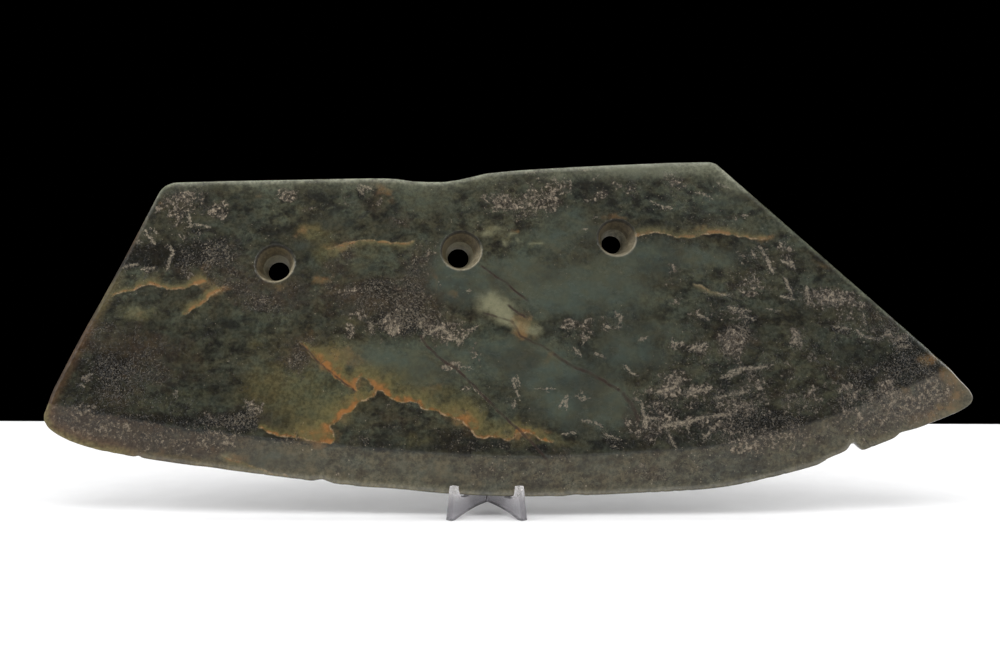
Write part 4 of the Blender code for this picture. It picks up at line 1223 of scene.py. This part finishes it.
def add_veins(stone, colour):
    """A stain that fades away on one side of a thin pale broken edge, and darker stone beyond it."""
    across = stone.plus(stone.attribute("vein_across"), stone.times(stone.wander, 0.6))
    warmth = stone.attribute("vein_hue")
    cloud = stone.noise(stone.place, 5.0, 4.0, 0.55, 15)
    stain = stone.times(stone.attribute("vein_stain"), stone.between(across, -0.7, 0.3, 0.0, 1.0))
    stain = stone.times(stain, stone.between(cloud, 0.32, 0.6, 0.5, 1.2))
    stone.masks["stain"] = stain
    glow = stone.mix(stone.between(cloud, 0.4, 0.62), stone_tone("glow_brown"), stone_tone("glow_orange"))
    outer_tone = stone.mix(warmth, stone_tone("stain_pale"), stone_tone("stain_olive"))
    inner_tone = stone.mix(warmth, stone_tone("glow_pale"), glow)
    colour = stone.cover(colour, stone.between(stain, 0.02, 0.5), 0.75, outer_tone)
    colour = stone.cover(colour, stone.between(stain, 0.42, 0.95), 0.9, inner_tone)
    near_vein = stone.attribute("vein_core")
    beyond = stone.times(stone.between(across, -0.3, -0.8), near_vein, clamp=True)
    colour = stone.cover(colour, beyond, 0.35, stone_tone("beyond_vein"))
    core = stone.between(stone.math("ABSOLUTE", stone.plus(across, 0.1)), 0.55, 0.15)
    broken = stone.between(stone.noise(stone.place, 3.4, 4.0, 0.65, 33), 0.42, 0.56, 0.0, 1.0)
    core = stone.times(core, broken, near_vein, clamp=True)
    warm_core = stone.mix(stone.between(stone.fine, 0.4, 0.6), stone_tone("vein_brown"),
                          stone_tone("vein_cream"))
    return stone.cover(colour, core, 0.75, stone.mix(warmth, stone_tone("vein_pale"), warm_core))


def add_grains(stone, colour):
    """Fine dark and pale grains, most of them in the darker stone, near the scars and to the right."""
    scar_gap = stone.math("SUBTRACT", stone.attribute("scar_width"),
                          stone.math("ABSOLUTE", stone.attribute("scar_across")))
    near_scar = stone.between(scar_gap, -1.9, 0.0)
    plenty = stone.between(stone.noise(stone.place, 13.0, 4.0, 0.6, 5), 0.35, 0.65, -0.15, 0.25)
    plenty = stone.raised(plenty, (stone.masks["brown"], 0.35), (stone.masks["dark"], 0.3),
                          (stone.rightward, 0.12), (stone.attribute("crust"), 0.4),
                          (stone.masks["clear"], -0.3), (near_scar, 0.4))
    pits = stone.flecks(1.2, stone.plus(plenty, 0.15))
    colour = stone.cover(colour, pits, 0.5, stone_tone("pit"))
    small = stone.flecks(0.8, plenty)
    stone.masks.update(pits=pits, small=small)
    fleck_tone = stone.clouded("fleck_dark", "fleck_light", 2.0, 2.0, 0.5, 71)
    colour = stone.cover(colour, small, 0.55, fleck_tone)
    dots = stone.specks(1.25, stone.times(stone.plus(plenty, 0.02), 0.75))
    return stone.cover(colour, dots, 0.8, stone_tone("dot"))


def add_crust(stone, colour):
    """Chalky ragged grains with dark stone between them."""
    crusted = stone.patch(stone.attribute("crust"), 3.4, 0.7, 0.24)
    flaked = stone.flecks(1.7, stone.plus(stone.times(crusted, 0.6), 0.27), 0.08)
    gritty = stone.times(stone.specks(0.9, 0.6, 0.42), 0.8)
    chalk = stone.times(stone.math("MAXIMUM", flaked, gritty), crusted)
    stone.masks["chalk"] = chalk
    chalk_tone = stone.clouded("crust_dark", "crust_light", 1.3, 4.0, 0.68, 12, 0.4, 0.64)
    colour = stone.cover(colour, crusted, 0.45, stone_tone("under_crust"))
    return stone.cover(colour, chalk, 0.82, chalk_tone)


def add_scars(stone, colour):
    """Pale chalky scrapes with broken edges."""
    off_line = stone.plus(stone.attribute("scar_across"), stone.sway(2.2, 2.0, 4.0, 0.7, 51))
    broken_edge = stone.sway(1.1, 5.0, 4.0, 0.72, 45, 0.49)
    reach = stone.plus(stone.attribute("scar_width"), broken_edge)
    scar = stone.between(stone.math("SUBTRACT", reach, stone.math("ABSOLUTE", off_line)), -0.1, 0.25)
    stone.masks["scar"] = scar
    scar_tone = stone.clouded("scar_dark", "scar_light", 0.9, 3.0, 0.6, 9, 0.38, 0.62)
    return stone.cover(colour, scar, 0.72, scar_tone)


def add_cracks(stone, colour):
    """Thin brown lines that fade here and there."""
    off_line = stone.plus(stone.attribute("crack_across"), stone.times(stone.wander, 0.4))
    crack = stone.between(stone.math("ABSOLUTE", off_line), 2.6, 0.3)
    crack = stone.times(crack, stone.attribute("crack_dark"), clamp=True)
    faded = stone.between(stone.noise(stone.place, 5.0, 3.0, 0.6, 91), 0.36, 0.6, 0.45, 1.0)
    stone.masks["crack"] = stone.times(crack, faded)
    return stone.cover(colour, stone.masks["crack"], 0.95, stone_tone("crack"))


def add_rim(stone, colour):
    """The rim, painted light as if through the thin stone: a paler strip, a glow at the top and left end, a
    highlight on the top edge.
    """
    from_rim = stone.attribute("rim_distance")
    ground = stone.masks["ground"]
    leftmost = stone.between(stone.along, -146, -160)
    topmost = stone.times(stone.between(stone.height, 122, 134), stone.inverse(leftmost),
                          stone.attribute("front"))
    stone.masks["leftmost"] = leftmost
    # painted light: a pale glow along the top, as if light came through the thin stone
    top_glow = stone.times(stone.between(from_rim, 10.0, 2.0), topmost)
    glow_amount = stone.plus(stone.between(stone.drift, 0.4, 0.6, 0.15, 0.6),
                             stone.between(stone.along, 15, 50, 0.0, 0.85))
    colour = stone.cover(colour, top_glow, glow_amount, stone_tone("top_glow"))
    # painted light: a glow in from the left end
    left_glow = stone.times(stone.between(from_rim, 7.0, 1.5), leftmost,
                            stone.between(stone.height, 94, 84))
    glow_tone = stone.mix(stone.between(stone.height, 64, 76), stone_tone("left_glow_low"),
                          stone_tone("left_glow_high"))
    colour = stone.cover(colour, left_glow, 0.7, glow_tone)

    # painted light: a paler strip along the outline, brightest as a painted highlight on the top edge
    patchy = stone.between(stone.noise(stone.place, 7.0, 4.0, 0.6, 21), 0.35, 0.6, 0.25, 1.0)
    strength = stone.plus(0.6, stone.times(0.3, stone.math("MAXIMUM", topmost, leftmost)))
    rim = stone.times(stone.between(from_rim, 3.8, 0.6), patchy, strength)
    # the very edge of the left end takes the stone's own dark brown
    rim = stone.math("MAXIMUM", rim, stone.times(stone.between(from_rim, 1.6, 0.4), leftmost))
    left_tone = stone.clouded("left_rim_dark", "left_rim_light", 14.0, 3.0, 0.5, 63, 0.42, 0.58)
    rim_tone = stone.mix(leftmost, stone_tone("rim"), left_tone)
    rim_tone = stone.mix(topmost, rim_tone, stone_tone("top_rim_highlight"))
    edge_tone = stone.mix(stone.between(stone.along, -90, -120), stone_tone("edge"),
                          stone_tone("left_edge"))
    return stone.cover(colour, rim, 1.0, stone.mix(ground, rim_tone, edge_tone))


def add_drilled_holes(stone, colour):
    """Hole walls painted lit below and shaded above, lighter at the back; painted highlights on lower lips,
    shade on upper.
    """
    from_hole = stone.attribute("from_hole")
    below = stone.attribute("below_hole")
    wall = stone.between(from_hole, 0.4, -0.3)
    # painted light and shade: the wall lit below and shaded above, as by light from above
    wall_tone = stone.mix(stone.between(below, 0.0, 0.95), stone_tone("wall_shaded"),
                          stone_tone("wall_lit"))
    mottle = stone.between(stone.mottle, 0.42, 0.6)
    wall_tone = stone.cover(wall_tone, mottle, 0.5, stone_tone("wall_mottling"))
    wall_tone = stone.cover(wall_tone, stone.between(from_hole, -1.6, -2.4), 0.7, stone_tone("wall_far"))
    colour = stone.cover(colour, wall, 0.9, wall_tone)
    # painted highlight on the lower lips
    lip = stone.times(stone.between(from_hole, 1.0, 0.3), stone.between(from_hole, -0.3, 0.3))
    colour = stone.cover(colour, lip, stone.between(below, -0.2, 0.8, 0.0, 0.8), stone_tone("lower_lip_highlight"))
    near_lip = stone.between(stone.math("ABSOLUTE", from_hole), 1.1, 0.4)
    stone.masks.update(wall=wall, near_lip=near_lip)
    # painted shade on the upper lips
    upper = stone.between(below, 0.3, -0.5, 0.0, 0.85)
    return stone.cover(colour, near_lip, upper, stone_tone("upper_lip_shade"))


def add_shade(stone, colour):
    """Fine unevenness where the stone is plain, and the colour darkened towards the right and at both low
    ends.
    """
    masks = stone.masks
    calm = stone.math("MAXIMUM", stone.math("MAXIMUM", masks["clear"], masks["stain"]),
                      stone.math("MAXIMUM", masks["rust"], masks["cream"]))
    uneven = stone.mix(stone.between(stone.fine, 0.36, 0.64), (0.7, 0.7, 0.7, 1.0), (1.28, 1.26, 1.24, 1.0))
    uneven = stone.mix(stone.times(calm, 0.75), uneven, (1.0, 1.0, 1.0, 1.0))
    colour = stone.mix(1.0, colour, uneven, "MULTIPLY")
    shade = stone.mix(stone.rightward, (0.99, 0.98, 0.96, 1.0), (0.86, 0.86, 0.87, 1.0))
    colour = stone.mix(1.0, colour, shade, "MULTIPLY")
    low_left = stone.times(stone.between(stone.along, -85, -135), stone.between(stone.height, 80, 55))
    low_right = stone.times(stone.between(stone.along, 70, 110, 0.0, 0.5),
                            stone.between(stone.height, 90, 65),
                            stone.inverse(stone.times(masks["ground"], 0.4)))
    return stone.shaded(colour, stone.math("MAXIMUM", low_left, low_right), (0.74, 0.74, 0.75, 1.0))


def polished_jade(lean, groups):
    """The stone, laid on from the body up, with its roughness, fine relief and glossy edges."""
    material, shader = new_material("polished_jade")
    stone = StoneRecipe(material, lean, groups)
    colour = stone_body(stone)
    for add_layer in (add_large_patches, add_ground_bevel, vary_hue, add_warm_patches, add_veins,
                      add_grains, add_crust, add_scars, add_cracks, add_rim, add_drilled_holes, add_shade):
        colour = add_layer(stone, colour)
    stone.feed(shader.inputs["Base Color"], colour)

    masks = stone.masks
    from_rim = stone.attribute("rim_distance")
    left_rim = stone.times(stone.between(from_rim, 3.0, 1.5), masks["leftmost"])
    rough = stone.raised(stone.between(stone.mottle, 0.3, 0.7, 0.2, 0.3), (masks["ground"], 0.15),
                         (masks["chalk"], 0.45), (masks["scar"], 0.4), (masks["wall"], 0.3),
                         (masks["near_lip"], 0.5), (masks["crack"], 0.3), (left_rim, 0.7))
    stone.feed(shader.inputs["Roughness"], stone.math("MINIMUM", rough, 0.92))

    relief_height = stone.raised(stone.times(stone.fine, 0.3), (masks["chalk"], 0.7), (masks["small"], 0.25),
                                 (masks["scar"], 0.35), (masks["crack"], -0.8), (masks["pits"], -0.4))
    bump = stone.add("ShaderNodeBump", {"Height": relief_height, "Strength": 0.6, "Distance": 0.14 * MM})
    stone.feed(shader.inputs["Normal"], bump.outputs["Normal"])
    dull_left = stone.math("SUBTRACT", 0.8, stone.times(0.78, masks["leftmost"]))
    stone.feed(shader.inputs["Coat Weight"], stone.times(stone.between(from_rim, 2.4, 0.5), dull_left))
    shader.inputs["Coat Roughness"].default_value = 0.2
    shader.inputs["IOR"].default_value = 1.62
    shader.inputs["Specular IOR Level"].default_value = 0.14
    return material


def clear_acrylic():
    """See-through acrylic with faint smears and marks, its feet painted darker as shade of the dark things
    seen through them.
    """
    material, shader = new_material("clear_acrylic")
    recipe = Recipe(material.node_tree)
    place = recipe.add("ShaderNodeTexCoord").outputs["Object"]
    marks = recipe.add("ShaderNodeTexNoise", {"Vector": place, "Scale": 260.0,
                                              "Detail": 4.0}).outputs["Fac"]
    smear = recipe.add("ShaderNodeTexNoise", {"Vector": place, "Scale": 45.0, "Detail": 2.0}).outputs["Fac"]
    height = recipe.add("ShaderNodeSeparateXYZ", {"Vector": place}).outputs["Z"]
    # painted shade: the feet darker, as the dark stone and backdrop seen through them make them look
    shaded_feet_tone = recipe.mix(recipe.between(smear, 0.3, 0.7), tone(164, 162, 166), tone(186, 184, 188))
    above_feet = recipe.between(height, 4 * MM, 15 * MM)
    recipe.feed(shader.inputs["Base Color"], recipe.mix(above_feet, shaded_feet_tone, tone(238, 236, 234)))
    recipe.feed(shader.inputs["Roughness"], recipe.between(marks, 0.45, 0.75, 0.04, 0.16))
    shader.inputs["Transmission Weight"].default_value = 0.72
    shader.inputs["IOR"].default_value = 1.2
    return material


def pale_table(middle, back):
    """The table, whose far edge runs a little askew behind the object."""
    far = back + TABLE_BEHIND
    corners = [(-TABLE_REACH, -TABLE_REACH), (TABLE_REACH, -TABLE_REACH), (TABLE_REACH, far - TABLE_SKEW),
               (-TABLE_REACH, far + TABLE_SKEW)]
    bm = bmesh.new()
    bm.faces.new([bm.verts.new((middle.x + x, y, middle.z)) for x, y in corners])
    mesh = bpy.data.meshes.new("table")
    bm.to_mesh(mesh)
    bm.free()
    material, shader = new_material("table_paper")
    recipe = Recipe(material.node_tree)
    place = recipe.add("ShaderNodeTexCoord").outputs["Object"]
    fibre = recipe.add("ShaderNodeTexNoise", {"Vector": place, "Scale": 90.0, "Detail": 3.0}).outputs["Fac"]
    recipe.feed(shader.inputs["Base Color"],
                recipe.mix(recipe.between(fibre, 0.3, 0.7), (0.92, 0.92, 0.925, 1), (0.94, 0.94, 0.945, 1)))
    shader.inputs["Roughness"].default_value = 0.9
    mesh.materials.append(material)
    table = bpy.data.objects.new("table", mesh)
    bpy.context.scene.collection.objects.link(table)


def soft_light(name, place, target, size, power):
    lamp = bpy.data.lights.new(name, "AREA")
    lamp.shape = "RECTANGLE"
    lamp.size, lamp.size_y = size
    lamp.energy = power
    obj = bpy.data.objects.new(name, lamp)
    obj.location = place
    obj.rotation_euler = (target - place).to_track_quat("-Z", "Y").to_euler()
    obj.visible_camera = False
    bpy.context.scene.collection.objects.link(obj)


def studio(middle, front):
    """Black backdrop, soft lights round the object and the camera before it."""
    scene = bpy.context.scene
    scene.view_settings.view_transform = "Standard"
    world = bpy.data.worlds.new("black_backdrop")
    world.use_nodes = True
    world.node_tree.nodes["Background"].inputs["Color"].default_value = (0, 0, 0, 1)
    scene.world = world
    for name, (offset, target_height, size, power) in LIGHTS.items():
        target = middle + Vector((0, 0, target_height))
        soft_light(name, middle + Vector(offset), target, size, power)
    camera_data = bpy.data.cameras.new("camera")
    camera_data.lens = CAMERA_LENS
    camera_data.sensor_width = 36
    camera_data.clip_start = 0.01
    camera = bpy.data.objects.new("camera", camera_data)
    camera.location = (middle.x + CAMERA_ASIDE, front - CAMERA_BACK, middle.z + CAMERA_HEIGHT)
    camera.rotation_euler = (math.radians(90 - CAMERA_DOWN), 0, 0)
    scene.collection.objects.link(camera)
    scene.camera = camera


groups = {"ragged_patch": ragged_patch_group(), "flecks": flecks_group(), "specks": specks_group()}
lean = BladeAxes(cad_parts["axe_blade"].data).lean
blade = jade_blade(polished_jade(lean, groups))
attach(blade, "root")
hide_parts("axe_blade")

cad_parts["display_stand"].material_slots[0].material = clear_acrylic()

low, high = (Vector(corner) for corner in cad_box)
middle = Vector(((low.x + high.x) / 2, (low.y + high.y) / 2, low.z))
pale_table(middle, high.y)
studio(middle, low.y)
